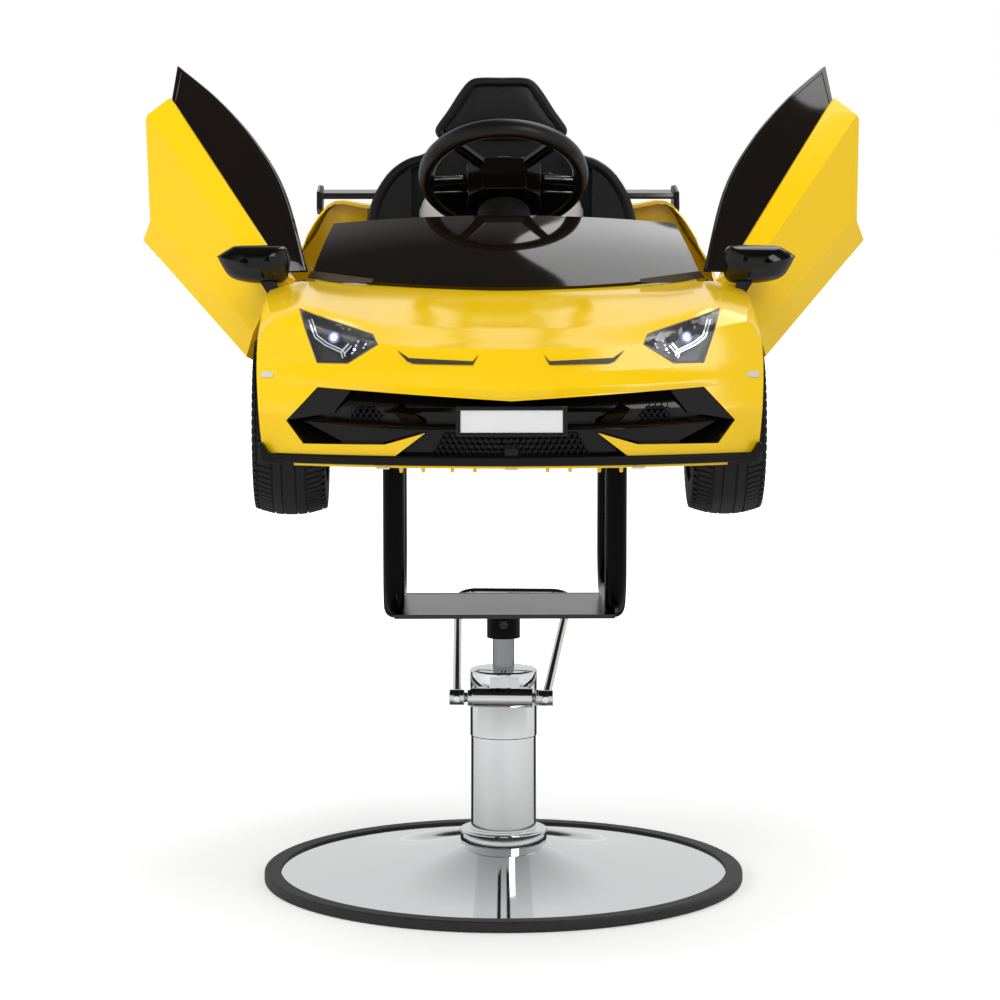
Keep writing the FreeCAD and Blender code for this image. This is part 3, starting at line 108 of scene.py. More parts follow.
def colour(code):
    """A colour written as sRGB hex, as the linear RGBA that Blender works in."""
    parts = [int(code[i:i + 2], 16) / 255 for i in (0, 2, 4)]
    return [p / 12.92 if p <= 0.04045 else ((p + 0.055) / 1.055) ** 2.4 for p in parts] + [1.0]


def blank_material(name, **sockets):
    """A material, its tree and its shader, with some of the shader's sockets set."""
    material = bpy.data.materials.new(name)
    material.use_nodes = True
    shader = material.node_tree.nodes["Principled BSDF"]
    for socket, value in sockets.items():
        shader.inputs[socket.replace("_", " ")].default_value = value
    return material, material.node_tree, shader


def feed(tree, shader, **sources):
    """Link outputs to the shader's sockets."""
    for socket, source in sources.items():
        tree.links.new(source, shader.inputs[socket.replace("_", " ")])


# %% [markdown]
# ## Finishes made from noise
# Moulded plastic, paint and rubber share one recipe: two close tones mixed by a broad
# noise, a roughness that wanders a little, and a fine bump the size of the real grain.
# An image could carry the same grain, but noise has no seams and no end. The sizes are
# real ones in millimetres, which the recipe turns into noise scales.

# %% Recipe for a moulded, painted or cast surface
PATCH_MM = 90           # breadth of the faint patches in the tone


def grained(name, tones, roughness, grain_mm, depth_mm, **sockets):
    material, tree, shader = blank_material(name, **sockets)
    place = add_node(tree, "ShaderNodeTexCoord", output="Object")
    patches = add_node(tree, "ShaderNodeTexNoise", {"Scale": 1000 / PATCH_MM, "Detail": 2.0},
                       {"Vector": place})
    tint = add_node(tree, "ShaderNodeMix", {6: colour(tones[0]), 7: colour(tones[1])}, {0: patches}, 2,
                    data_type="RGBA")
    gloss = add_node(tree, "ShaderNodeMapRange", {3: roughness[0], 4: roughness[1]}, {0: patches})
    grain = add_node(tree, "ShaderNodeTexNoise", {"Scale": 1000 / grain_mm, "Detail": 3.0}, {"Vector": place})
    bump = add_node(tree, "ShaderNodeBump", {"Strength": 1.0, "Distance": depth_mm * MM}, {"Height": grain})
    feed(tree, shader, Base_Color=tint, Roughness=gloss, Normal=bump)
    return material


# %% Plastics of the car's body
# Blow-moulded body plastic: deep gloss with a faint orange-peel skin.
yellow_body = grained("yellow_body_gloss_abs", ("F5C70A", "F9CE10"), (0.10, 0.16), 9.0, 0.012, IOR=1.53)
# Injection-moulded gloss black: darker and a little smoother.
black_gloss = grained("black_gloss_abs", ("080706", "0B0A09"), (0.07, 0.12), 12.0, 0.010, IOR=1.42)
# Tinted window plastic: brown-black, with the sharpest mirror of all the plastics.
window_black = grained("tinted_window_acrylic", ("100C09", "17110D"), (0.04, 0.07), 30.0, 0.006, IOR=1.49)
# Fine spark-eroded texture on lip, dashboard and floor pan: dark and dull.
black_satin = grained("black_satin_polypropylene", ("080807", "0E0E0D"), (0.38, 0.52), 1.4, 0.05, IOR=1.49,
                      Specular_IOR_Level=0.24)
# Warm grey strips on bonnet and cowl: half gloss, so that they read as separate trims.
trim_grey = grained("dark_grey_trim", ("3A342C", "453E35"), (0.30, 0.40), 2.0, 0.02, IOR=1.5)
# Pale moulded reflectors and clips: an even, soft off-white.
marker_grey = grained("light_grey_marker", ("C6C4BC", "D2D0C8"), (0.25, 0.32), 6.0, 0.01, IOR=1.5)
# Rolled acrylic sheet of the blank number plate: clean and smooth.
plate_white = grained("white_plate_panel", ("E4E5E6", "ECECED"), (0.16, 0.22), 20.0, 0.006, IOR=1.5)
# Silver-pigmented rims: a grey sheen that stops short of a mirror.
rim_silver = grained("silver_rim_plastic", ("8C8C8E", "9B9B9D"), (0.24, 0.32), 1.6, 0.02, IOR=1.5,
                     Metallic=0.35)
# Tail lamp plastic: a deep red under a wet gloss.
red_lens = grained("red_lamp_plastic", ("9C0A0A", "B00E0E"), (0.10, 0.16), 14.0, 0.01, IOR=1.49)
# Lamp bowl: dark and soft, so that the light bars stand out.
lamp_dark = grained("dark_lamp_bowl", ("121214", "1A1A1D"), (0.30, 0.42), 5.0, 0.02, IOR=1.45)
# Rubber seal round each lens: a thin warm line.
lamp_seal = grained("lamp_seal", ("6E5E48", "85735A"), (0.3, 0.4), 3.0, 0.01, IOR=1.45)
# Frosted ring round the projector: it glows a little, a cold violet.
halo_ring = grained("halo_ring_plastic", ("8F94C8", "A9ADDB"), (0.2, 0.3), 3.0, 0.01, Emission_Strength=0.35,
                    Emission_Color=colour("8E92D0"))

# %% Coats and rubbers of the frame, the wheels and the base
# Baked powder coat on the tubes: black with a low sheen and a pebbled skin.
powder_coat = grained("black_powder_coat", ("030303", "060505"), (0.16, 0.24), 2.2, 0.03, IOR=1.42,
                      Specular_IOR_Level=0.1)
# The same coat on the flat plate, flowed out smoother: it greys when seen at a low angle.
plate_coat = grained("grey_black_powder_coat", ("121213", "181819"), (0.21, 0.27), 2.2, 0.01, IOR=1.52)
# Extruded rubber round the base: dull, with a tight grain.
rubber = grained("black_base_rubber", ("1D1D1D", "262626"), (0.50, 0.62), 2.5, 0.05, IOR=1.52)
# Foamed tyre plastic: matt, with a coarse skin that catches no highlight.
tyre_plastic = grained("black_tyre_eva", ("0A0A0A", "121211"), (0.48, 0.66), 1.8, 0.07, IOR=1.5,
                       Specular_IOR_Level=0.3)
# Sand-cast iron with a thin primer: rough and uneven.
iron = grained("cast_iron_disc", ("2B2B2C", "3A3A3B"), (0.55, 0.70), 3.0, 0.12)
print("plastics, coats and rubbers:", len(bpy.data.materials))


# %% [markdown]
# ## Metals
# Chrome plate is a perfect mirror with faint wiping marks, so its noise is stretched
# along the upright. Turned steel has fine rings round its axis, so it takes a wave
# pattern instead of noise.

# %% Plated metal
def plated(name, tone, roughness, wipe_mm):
    material, tree, shader = blank_material(name, Metallic=1.0, Base_Color=colour(tone))
    place = add_node(tree, "ShaderNodeTexCoord", output="Object")
    stretch = add_node(tree, "ShaderNodeMapping", {"Scale": (1.0, 1.0, 0.15)}, {"Vector": place})
    wipes = add_node(tree, "ShaderNodeTexNoise", {"Scale": 1000 / wipe_mm, "Detail": 4.0},
                     {"Vector": stretch})
    gloss = add_node(tree, "ShaderNodeMapRange", {3: roughness[0], 4: roughness[1]}, {0: wipes})
    waves = add_node(tree, "ShaderNodeTexNoise", {"Scale": 1000 / (wipe_mm * 6), "Detail": 1.0},
                     {"Vector": place})
    bump = add_node(tree, "ShaderNodeBump", {"Strength": 1.0, "Distance": 0.03 * MM}, {"Height": waves})
    feed(tree, shader, Roughness=gloss, Normal=bump)
    return material


# Nickel-chrome plate on polished steel: a clean, faintly wavy mirror.
chrome = plated("chrome_plate", "E9EBEC", (0.03, 0.07), 14)
# Hard chrome on the ground piston rod: darker and duller, since it is left unpolished.
ground_rod = plated("hard_chromed_rod", "8A8D90", (0.10, 0.18), 5)
# Float glass silvered at the back: the flattest mirror of all.
mirror_glass = plated("mirror_glass", "C8CED2", (0.01, 0.03), 40)
# Aluminium vapour on plastic, in the lamps: bright with a soft haze.
lamp_reflector = plated("vacuum_metallised_reflector", "D4D8DC", (0.08, 0.16), 4)


# %% Turned steel
def turned_metal(name, tone, ring_mm, roughness):
    material, tree, shader = blank_material(name, Metallic=1.0, Base_Color=colour(tone))
    place = add_node(tree, "ShaderNodeTexCoord", output="Object")
    rings = add_node(tree, "ShaderNodeTexWave",
                     {"Scale": 1000 / ring_mm / 20, "Distortion": 0.6, "Detail": 2.0},
                     {"Vector": place}, "Fac", bands_direction="Z")
    gloss = add_node(tree, "ShaderNodeMapRange", {3: roughness[0], 4: roughness[1]}, {0: rings})
    bump = add_node(tree, "ShaderNodeBump", {"Strength": 1.0, "Distance": 0.01 * MM}, {"Height": rings})
    feed(tree, shader, Roughness=gloss, Normal=bump)
    return material


# Steel fresh from the lathe: grey, with a brushed ring of light.
steel = turned_metal("turned_steel", "A9AAAC", 0.8, (0.25, 0.40))
print("metals ready")


# %% [markdown]
# ## Leather look
# The seat is covered in leathercloth: vinyl with a pressed grain of small rounded cells.
# A Voronoi pattern gives the cells, and a noise that bends its coordinates keeps them
# from looking like tiles.

# %% Grained leather
def leather(name, tones, cell_mm, depth_mm, roughness):
    material, tree, shader = blank_material(name, IOR=1.5, Specular_IOR_Level=0.35)
    place = add_node(tree, "ShaderNodeTexCoord", output="Object")
    warp = add_node(tree, "ShaderNodeTexNoise", {"Scale": 1000 / (cell_mm * 4), "Detail": 2.0},
                    {"Vector": place},
                    "Color")
    moved = add_node(tree, "ShaderNodeVectorMath", {3: 0.8 * cell_mm * MM}, {0: warp}, operation="SCALE")
    bent = add_node(tree, "ShaderNodeVectorMath", {}, {0: place, 1: moved}, operation="ADD")
    cells = add_node(tree, "ShaderNodeTexVoronoi", {"Scale": 1000 / cell_mm}, {"Vector": bent}, "Distance",
                     feature="DISTANCE_TO_EDGE")
    crease = add_node(tree, "ShaderNodeMapRange", {2: 0.18}, {0: cells})
    patches = add_node(tree, "ShaderNodeTexNoise", {"Scale": 12.0, "Detail": 3.0}, {"Vector": place})
    tint = add_node(tree, "ShaderNodeMix", {6: colour(tones[0]), 7: colour(tones[1])}, {0: patches}, 2,
                    data_type="RGBA")
    gloss = add_node(tree, "ShaderNodeMapRange", {3: roughness[1], 4: roughness[0]}, {0: crease})
    bump = add_node(tree, "ShaderNodeBump", {"Strength": 0.7, "Distance": depth_mm * MM}, {"Height": crease})
    feed(tree, shader, Base_Color=tint, Roughness=gloss, Normal=bump)
    return material


# Black leathercloth: its grain breaks the highlights on the rolled borders.
seat_black = leather("black_seat_leathercloth", ("0B0B0B", "111111"), 2.4, 0.10, (0.34, 0.5))
# Light grey leathercloth: nearly white and flatter, so the grain only shows near edges.
seat_grey = leather("light_grey_seat_leathercloth", ("DAD7D3", "E4E1DD"), 2.4, 0.08, (0.42, 0.55))
# Soft moulded grip of the steering wheel: a finer grain with more sheen.
wheel_grip = leather("black_wheel_grip", ("080808", "0E0E0E"), 1.6, 0.06, (0.28, 0.42))
print("leathers ready")


# %% [markdown]
# ## Lamps
# The lens is clear polycarbonate. The light-emitting diode behind it glows cold white,
# so its shader has a little emission as well. A lamp object could light it, but a glow
# in the material moves with the piece.

# %% Clear lens and glowing diode
# Injection-moulded polycarbonate: clear, with ripples too low to see straight on.
clear_lens, tree, shader = blank_material("clear_polycarbonate_lens", IOR=1.3, Transmission_Weight=1.0,
                                          Roughness=0.02, Base_Color=colour("F4F6F8"))
place = add_node(tree, "ShaderNodeTexCoord", output="Object")
ripple = add_node(tree, "ShaderNodeTexNoise", {"Scale": 60.0}, {"Vector": place})
feed(tree, shader, Normal=add_node(tree, "ShaderNodeBump", {"Distance": 0.02 * MM}, {"Height": ripple}))

# Phosphor under a clear dome: white with a violet edge to each cell.
led_white, tree, shader = blank_material("lit_white_diode", Roughness=0.3, Emission_Strength=3.0)
place = add_node(tree, "ShaderNodeTexCoord", output="Object")
cells = add_node(tree, "ShaderNodeTexVoronoi", {"Scale": 900.0}, {"Vector": place}, "Distance")
glow = add_node(tree, "ShaderNodeMix", {6: colour("FFFFFF"), 7: colour("C9CCFF")}, {0: cells}, 2,
                data_type="RGBA")
feed(tree, shader, Base_Color=glow, Emission_Color=glow)
print("lamp materials ready")


# %% [markdown]
# ## Dressing the carried-over solids
# Plain turned and bent parts already have their true shape, so they keep the packed
# mesh and only take a finish. The record's material slot of each node picks it.

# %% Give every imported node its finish
finish_of_slot = {
    "yellow_body": yellow_body, "black_gloss": black_gloss, "black_satin": black_satin,
    "black_paint": powder_coat, "chrome": chrome, "steel": steel, "iron": iron, "rubber": rubber,
    "tyre_black": tyre_plastic, "seat_black": seat_black, "seat_grey": seat_grey, "clear_lens": clear_lens,
    "red_lens": red_lens, "lamp_dark": lamp_dark, "trim_grey": trim_grey, "plate_white": plate_white,
    "rim_silver": rim_silver,
}
slot_of_node = {part["node"]: part["material_slot"] for part in frame["record"]["subparts"]}


def dress(thing, material):
    thing.data.materials.clear()
    thing.data.materials.append(material)


for name, thing in nodes.items():
    dress(thing, finish_of_slot[slot_of_node[name]])
dress(nodes["piston_rod"], ground_rod)
dress(nodes["seat_plate"], plate_coat)
for name in ("windshield", "door_left_window", "door_right_window"):
    dress(nodes[name], window_black)
print("dressed", len(nodes), "nodes")


# %% [markdown]
# ## Helpers for new pieces
# A new piece is a bmesh that becomes an object at the origin, with its place in its
# mesh. Smooth shading with a limit of 35 degrees keeps real edges crisp, and a Bevel
# modifier rounds them, so the bmesh itself stays simple.

# %% Make a finished object from a bmesh
def loose_object(name, shape):
    """Turn a bmesh into an object and free it."""
    mesh = bpy.data.meshes.new(name)
    shape.to_mesh(mesh)
    shape.free()
    thing = bpy.data.objects.new(name, mesh)
    bpy.context.scene.collection.objects.link(thing)
    return thing


def made(name, shape, material, slot, stands_for=(), bevel_mm=0.0, smooth_angle=35, segments=2,
         body="carriage"):
    """A finished piece, with the node that it stands for and the body that it rides on."""
    bmesh.ops.recalc_face_normals(shape, faces=shape.faces)
    thing = loose_object(name, shape)
    if bevel_mm > 0:
        bevel = thing.modifiers.new("edge", "BEVEL")
        bevel.width = bevel_mm * MM
        bevel.segments = segments
        bevel.limit_method = "ANGLE"
        bevel.angle_limit = math.radians(smooth_angle)
        bevel.harden_normals = False
    thing.data.shade_smooth()
    thing.data.set_sharp_from_angle(angle=math.radians(smooth_angle))
    dress(thing, material)
    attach(thing, body)
    if stands_for:
        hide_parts(*stands_for)
    return thing


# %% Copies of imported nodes
def welded_copy(node):
    """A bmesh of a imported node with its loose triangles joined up."""
    shape = bmesh.new()
    shape.from_mesh(nodes[node].data)
    bmesh.ops.remove_doubles(shape, verts=shape.verts, dist=0.02 * MM)
    bmesh.ops.dissolve_limit(shape, angle_limit=math.radians(0.5), verts=shape.verts, edges=shape.edges)
    return shape


def body_of(node):
    return next(b for b, members in frame["record"]["behaviour"]["bodies"].items() if node in members)


def rounded_copy(node, bevel_mm, material=None, angle=35, segments=2):
    """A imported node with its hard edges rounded, standing for that node."""
    slot = slot_of_node[node]
    return made(node + "_finished", welded_copy(node), material or finish_of_slot[slot], slot, (node,),
                bevel_mm, angle, segments, body_of(node))


# %% [markdown]
# ## The body as one mapped cube
# The front of the car is a box with soft corners: a top that crowns, two sides that
# tuck in and a nose that bows and leans back. A cube cut into a fine grid has those
# same faces. Each grid point is moved to where the outline of the car says, and the
# cube's own edges become the shoulder and nose creases of the real moulding.

# %% Smooth curves through a few measured points
def through(points, t):
    """A point at t on a smooth curve through the points, which lie at t = 0, 1, 2 ..."""
    index = min(max(int(t), 0), len(points) - 2)
    local = t - index
    p1, p2 = Vector(points[index]), Vector(points[index + 1])
    p0 = Vector(points[index - 1]) if index > 0 else p1 * 2 - p2
    p3 = Vector(points[index + 2]) if index + 2 < len(points) else p2 * 2 - p1
    m1, m2 = (p2 - p0) / 2, (p3 - p1) / 2
    a, b = local * local, local * local * local
    return p1 * (2 * b - 3 * a + 1) + m1 * (b - 2 * a + local) + p2 * (3 * a - 2 * b) + m2 * (b - a)


def outline_at(stations, y, s):
    """Half outline of the car (x, height) in mm: s runs 0 to 1 up the side and 1 to 2 over the top."""
    index = 0
    while index < len(stations) - 2 and y > stations[index + 1][0]:
        index += 1
    t = index + (y - stations[index][0]) / (stations[index + 1][0] - stations[index][0])
    rows = []
    for _, points in stations:
        side, top = points[:4], points[3:]
        rows.append(through(side, 3 * s) if s <= 1 else through(top, (s - 1) * (len(top) - 1)))
    return through(rows, t)


# %% The mapped cube
BODY_WIDTH = 262        # half the width, where the outline at a point isn't known yet
BODY_FOOT = 60          # the moulding's lower edge, before it is trimmed


def shaped(shape, rule):
    """Move each point (a, b, c) of a bmesh to where the rule says."""
    for vert in shape.verts:
        vert.co = rule(*vert.co)
    return shape


def mapped_body(stations, y_open, end_face, cuts):
    """A cube's grid moved to the form of one end of the car. It stays open below and towards y_open."""
    shape = bmesh.new()
    bmesh.ops.create_cube(shape, size=2)
    bmesh.ops.subdivide_edges(shape, edges=shape.edges, cuts=cuts, use_grid_fill=True)
    away = 1 if end_face(0, BODY_FOOT) < y_open else -1
    middles = [(face, face.calc_center_median()) for face in shape.faces]
    gone = [face for face, middle in middles if middle.z < -0.999 or middle.y * away > 0.999]
    bmesh.ops.delete(shape, geom=gone, context="FACES")

    def rule(a, b, c):
        along = (1 - b * away) / 2
        x, h = a * BODY_WIDTH, 150
        for _ in range(3):
            y = y_open + (end_face(x, h) - y_open) * along
            side = outline_at(stations, y, (c + 1) / 2)
            shoulder = outline_at(stations, y, 1)
            top = outline_at(stations, y, 2 - abs(a))
            x = math.copysign(side.x * top.x / shoulder.x, a) if abs(a) > 1e-6 else 0.0
            h = BODY_FOOT + (top.y - BODY_FOOT) * (side.y - BODY_FOOT) / (shoulder.y - BODY_FOOT)
        return Vector((x * MM, y * MM, (h + GROUND) * MM))
    return shaped(shape, rule)


# %% [markdown]
# ## Cutting openings
# The mouth, the lamps and the wheel arches are cut with prisms, the way a mould maker
# blocks them out. The wall is given its thickness first, so each cut shows it.

# %% Prisms and wheel holes
def prism(outline, low, high, axis="Y"):
    """A closed prism along one axis. The outline is (x, height) for Y and (y, height) for X, in mm."""
    shape = bmesh.new()
    corners = [(p, low, h) if axis == "Y" else (low, p, h) for p, h in outline]
    face = shape.faces.new([shape.verts.new(on_car(*corner)) for corner in corners])
    swept = bmesh.ops.extrude_face_region(shape, geom=[face])["geom"]
    run = Vector((0, high - low, 0) if axis == "Y" else (high - low, 0, 0))
    bmesh.ops.translate(shape, verts=[g for g in swept if isinstance(g, bmesh.types.BMVert)], vec=run * MM)
    bmesh.ops.recalc_face_normals(shape, faces=shape.faces)
    return shape


def twin_prisms(outline, low, high):
    """A prism and its twin on the other side of the car."""
    return [prism([(side * x, h) for x, h in outline], low, high) for side in (1, -1)]


def rect(x0, x1, h0, h1):
    return [(x0, h0), (x1, h0), (x1, h1), (x0, h1)]


ARCH_RADIUS = 118


def wheel_hole(y):
    """A cylinder along an axle, wider than the car."""
    shape = bmesh.new()
    sideways = Matrix.Translation(on_car(0, y, WHEEL_RADIUS)) @ Matrix.Rotation(math.pi / 2, 4, "Y")
    bmesh.ops.create_cone(shape, segments=96, radius1=ARCH_RADIUS * MM, radius2=ARCH_RADIUS * MM,
                          depth=800 * MM, cap_ends=True, matrix=sideways)
    return shape


# %% The cut itself
def with_cuts(shape, cutters, keep="DIFFERENCE"):
    """Cut a bmesh with others, one after another, and return the result as a bmesh."""
    thing = loose_object("blank", shape)
    for cutter in cutters:
        tool = loose_object("tool", cutter)
        step = thing.modifiers.new("cut", "BOOLEAN")
        step.operation, step.solver, step.object = keep, "EXACT", tool
        baked = bpy.data.meshes.new_from_object(thing.evaluated_get(bpy.context.evaluated_depsgraph_get()))
        thing.modifiers.clear()
        thing.data = baked
        bpy.data.objects.remove(tool)
    result = bmesh.new()
    result.from_mesh(thing.data)
    bpy.data.objects.remove(thing)
    return result


# %% [markdown]
# ## Front body
# Bonnet, wings and nose are one yellow moulding. The measured half outlines below are
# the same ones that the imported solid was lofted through.

# %% Front body form
front_stations = [
    (-560, [(256, 60), (262, 118), (261, 165), (240, 178), (190, 184), (150, 184), (100, 183), (0, 182)]),
    (-480, [(258, 60), (265, 118), (266, 182), (246, 201), (190, 201), (150, 200), (100, 198), (0, 198)]),
    (-425, [(259, 60), (266, 118), (269, 200), (254, 224), (214, 231), (165, 222), (110, 213), (0, 209)]),
    (-325, [(260, 60), (267, 118), (271, 210), (265, 238), (226, 244), (180, 239), (130, 233), (0, 227)]),
    (-235, [(262, 60), (269, 118), (272, 212), (265, 243), (232, 250), (185, 246), (130, 244), (0, 241)]),
    (-150, [(262, 60), (269, 118), (270, 212), (262, 246), (230, 254), (185, 253), (130, 250), (0, 246)]),
]
mouth = [(-203, 153), (0, 141), (203, 153), (236, 118), (218, 94), (132, 95), (90, 107.6), (123, 82),
         (-123, 82), (-90, 107.6), (-132, 95), (-218, 94), (-236, 118)]
headlight = [(225, 232), (145, 207), (139, 197), (171, 177), (204, 177)]
NOSE_Y = -536.5         # the foremost line of the nose
NOSE_BOW = 55           # how far its corners fall back from there
NOSE_LEAN = 0.54        # how far it leans back for each mm of height above the mouth
COWL_Y = -176           # the bonnet's rear edge, under the windshield


def plan_curve(x, h):
    """The nose as it bows across, at any height."""
    return NOSE_Y + NOSE_BOW * (x / BODY_WIDTH) ** 2


def nose_face(x, h):
    """How far forward the nose is at this place."""
    return plan_curve(x, h) + NOSE_LEAN * max(0, h - 130)


def front_blank():
    shape = mapped_body(front_stations, COWL_Y, nose_face, 30)
    bmesh.ops.recalc_face_normals(shape, faces=shape.faces)
    return shape


# %% Front body cut and placed
BODY_WALL = 4


def walled(shape):
    """Give an open skin its wall, inwards."""
    bmesh.ops.solidify(shape, geom=shape.faces[:], thickness=BODY_WALL * MM)
    bmesh.ops.recalc_face_normals(shape, faces=shape.faces)
    return shape


door_edge = [(-262, 40), (-244, 146), (-214, 234), (-206, 300), (0, 300), (0, 40)]
front_body = made("front_body", with_cuts(walled(front_blank()), [
    prism(mouth, -700, -400), *twin_prisms(headlight, -700, -350), prism(door_edge, 216, 400, "X"),
    prism(door_edge, -400, -216, "X"), prism(rect(-400, 400, -60, 83.6), -700, 0), wheel_hole(-AXLE_Y)]),
                  yellow_body, "yellow_body", ("front_body_shell",))
print("front body faces", len(front_body.data.polygons))


# %% [markdown]
# ## Placing things on the skin
# Lamps, trims and markers sit on the curved skin. A ray shot backwards at a given width
# and height finds the skin there, so each detail follows the form and never floats.

# %% Find the skin in front of a place
probe = front_blank()
front_skin = BVHTree.FromBMesh(probe)
probe.free()


def on_skin(x, h, depth=0.0):
    """The point of the front skin at this width and height (mm), moved back by a depth."""
    place = Vector((x * MM, -1.0, (h + GROUND) * MM))
    place.y = front_skin.ray_cast(place, Vector((0, 1, 0)))[0].y + depth * MM
    return place


# %% Plates that follow a surface
def cube_grid(columns, rows):
    """A cube of size 2 whose x is cut into columns and whose z is cut into rows."""
    shape = bmesh.new()
    bmesh.ops.create_cube(shape, size=2)
    for axis, cuts in ((0, columns), (2, rows)):
        long_edges = [e for e in shape.edges if abs((e.verts[0].co - e.verts[1].co)[axis]) > 1]
        bmesh.ops.subdivide_edges(shape, edges=long_edges, cuts=cuts, use_grid_fill=True)
    return shape


def skin_slab(outline, front, back, cuts=40, follow=None):
    """A plate of the given outline whose faces follow the skin, between two depths behind it (mm)."""
    xs, hs = zip(*outline)
    margin = 1

    def rule(a, b, c):
        x = min(xs) - margin + (max(xs) - min(xs) + 2 * margin) * (a + 1) / 2
        h = min(hs) - margin + (max(hs) - min(hs) + 2 * margin) * (c + 1) / 2
        depth = front if b < 0 else back
        return on_car(x, follow(x, h) + depth, h) if follow else on_skin(x, h, depth)
    blank = shaped(cube_grid(cuts, max(2, cuts // 3)), rule)
    return with_cuts(blank, [prism(outline, -800, 0)], keep="INTERSECT")


# %% Joining and mirroring
def joined(shapes):
    whole = bmesh.new()
    for shape in shapes:
        mesh = bpy.data.meshes.new("part")
        shape.to_mesh(mesh)
        shape.free()
        whole.from_mesh(mesh)
        bpy.data.meshes.remove(mesh)
    return whole


def flipped(shape):
    """Mirror a bmesh across the middle of the car."""
    bmesh.ops.scale(shape, vec=(-1, 1, 1), verts=shape.verts)
    bmesh.ops.reverse_faces(shape, faces=shape.faces)
    return shape


def with_mirror(shape):
    """The shape and its mirror image."""
    return joined([shape, flipped(shape.copy())])


# %% [markdown]
# ## The mouth
# Behind the wide opening sits one black insert: a back panel, side walls that lean in,
# a long blade from corner to corner, wedge fins and patches of honeycomb. Honeycomb is
# made one hexagon at a time: a disc of six sides, inset, with its middle taken out.

# %% Honeycomb patch
def inside(outline, x, h):
    hit = False
    for (x1, h1), (x2, h2) in zip(outline, outline[1:] + outline[:1]):
        if (h1 > h) != (h2 > h) and x < (x2 - x1) * (h - h1) / (h2 - h1) + x1:
            hit = not hit
    return hit


def honeycomb(outline, pitch, wall, depth, deep):
    """Walls round six-sided cells behind the nose, wherever a cell's centre lies in the outline."""
    shape = bmesh.new()
    xs, hs = zip(*outline)
    row_pitch = pitch * 0.866
    for row in range(int((max(hs) - min(hs)) / row_pitch) + 1):
        h = min(hs) + pitch / 2 + row * row_pitch
        for column in range(int((max(xs) - min(xs)) / pitch) + 2):
            x = min(xs) + (column + 0.5 * (row % 2)) * pitch
            if not inside(outline, x, h):
                continue
            ring = bmesh.ops.create_circle(shape, cap_ends=True, segments=6, radius=pitch / 1.732 * MM)
            upright = Matrix.Rotation(math.pi / 2, 4, "X")
            bmesh.ops.transform(shape, verts=ring["verts"],
                                matrix=Matrix.Translation(on_car(x, nose_face(x, h) + depth, h)) @ upright)
    cells = shape.faces[:]
    bmesh.ops.inset_individual(shape, faces=cells, thickness=wall / 2 * MM)
    bmesh.ops.delete(shape, geom=cells, context="FACES")
    bmesh.ops.remove_doubles(shape, verts=shape.verts, dist=0.05 * MM)
    bmesh.ops.recalc_face_normals(shape, faces=shape.faces)
    bmesh.ops.solidify(shape, geom=shape.faces[:], thickness=deep * MM)
    return shape


side_patch = [(-168, 120), (-168, 132), (-160, 136), (-147, 136), (-139, 129), (-139, 120)]
middle_patch = [(-86, 82.5), (-72, 103), (72, 103), (86, 82.5)]
combs = joined([with_mirror(honeycomb(side_patch, 6.6, 1.6, 14, 4)),
                honeycomb(middle_patch, 6.6, 1.7, 12, 5)])


# %% Forms of the mouth insert
def faceted(points, wall_mm):
    """A flat or folded panel from a few corners (x, height, depth behind the nose), given a wall."""
    shape = bmesh.new()
    shape.faces.new([shape.verts.new(on_car(x, nose_face(x, h) + depth, h)) for x, h, depth in points])
    bmesh.ops.triangulate(shape, faces=shape.faces)
    bmesh.ops.recalc_face_normals(shape, faces=shape.faces)
    if shape.faces[:][0].normal.y > 0:
        bmesh.ops.reverse_faces(shape, faces=shape.faces)
    bmesh.ops.solidify(shape, geom=shape.faces[:], thickness=wall_mm * MM)
    return shape


def middle_of(outline):
    return [sum(values) / len(outline) for values in zip(*outline)]


def grown(outline, amount):
    """Move each corner of an outline away from its middle."""
    middle_x, middle_h = middle_of(outline)
    result = []
    for x, h in outline:
        run = math.hypot(x - middle_x, h - middle_h)
        result.append((x + (x - middle_x) / run * amount, h + (h - middle_h) / run * amount))
    return result


# %% Mouth insert
back_panel = skin_slab(grown(mouth, 4), 24, 27, follow=nose_face)
wall_ring = with_cuts(skin_slab(grown(mouth, 3.5), 4.2, 25, follow=nose_face), [prism(mouth, -800, 0)])
blade_line = [(-235, 118.4), (-203, 122.5), (-100, 117), (1, 116.5), (1, 110.5), (-100, 110.8), (-150, 112.6)]
blade = skin_slab(blade_line, 3, 24, follow=lambda x, h: nose_face(x, h) + max(0, (h - 112) * 1.4))
outer_panel = faceted([(-203, 152.5, 5), (-168, 148.6, 17), (-186, 126, 20), (-234, 118.5, 4)], 2)
inner_wall = faceted([(-234, 117.6, 3.5), (-223, 117, 20), (-178, 95.6, 23), (-217, 94.8, 3.5)], 2)
wedge = faceted([(-124, 132, 16), (-114, 137, 22), (-92, 118.8, 10), (-110, 116.5, 6)], 2.5)
ledge = skin_slab(rect(-96, 96, 80, 82.6), 5, 24, follow=nose_face)
rail = skin_slab(rect(-94, 94, 126, 128.6), 14, 18, follow=nose_face)
peg = skin_slab([(-8, 76), (8, 76), (6.5, 91), (-6.5, 91)], 7, 24, follow=nose_face, cuts=6)
mouth_insert = joined([back_panel, wall_ring, with_mirror(blade), with_mirror(outer_panel),
                       with_mirror(inner_wall), with_mirror(wedge), ledge, rail, peg])
made("mouth_insert", mouth_insert, black_gloss, "black_gloss", ("front_grille",), 0.5)
made("mouth_honeycomb", combs, black_satin, "black_gloss")
print("mouth ready")


# %% [markdown]
# ## Lip, flange and pegs
# A satin black lip runs under the nose. Below it shows the yellow flange of the shell
# with its moulding pegs. The flange is a thin slab that follows the nose in plan, and
# each peg is a small cone, since a mould needs its pegs to taper.

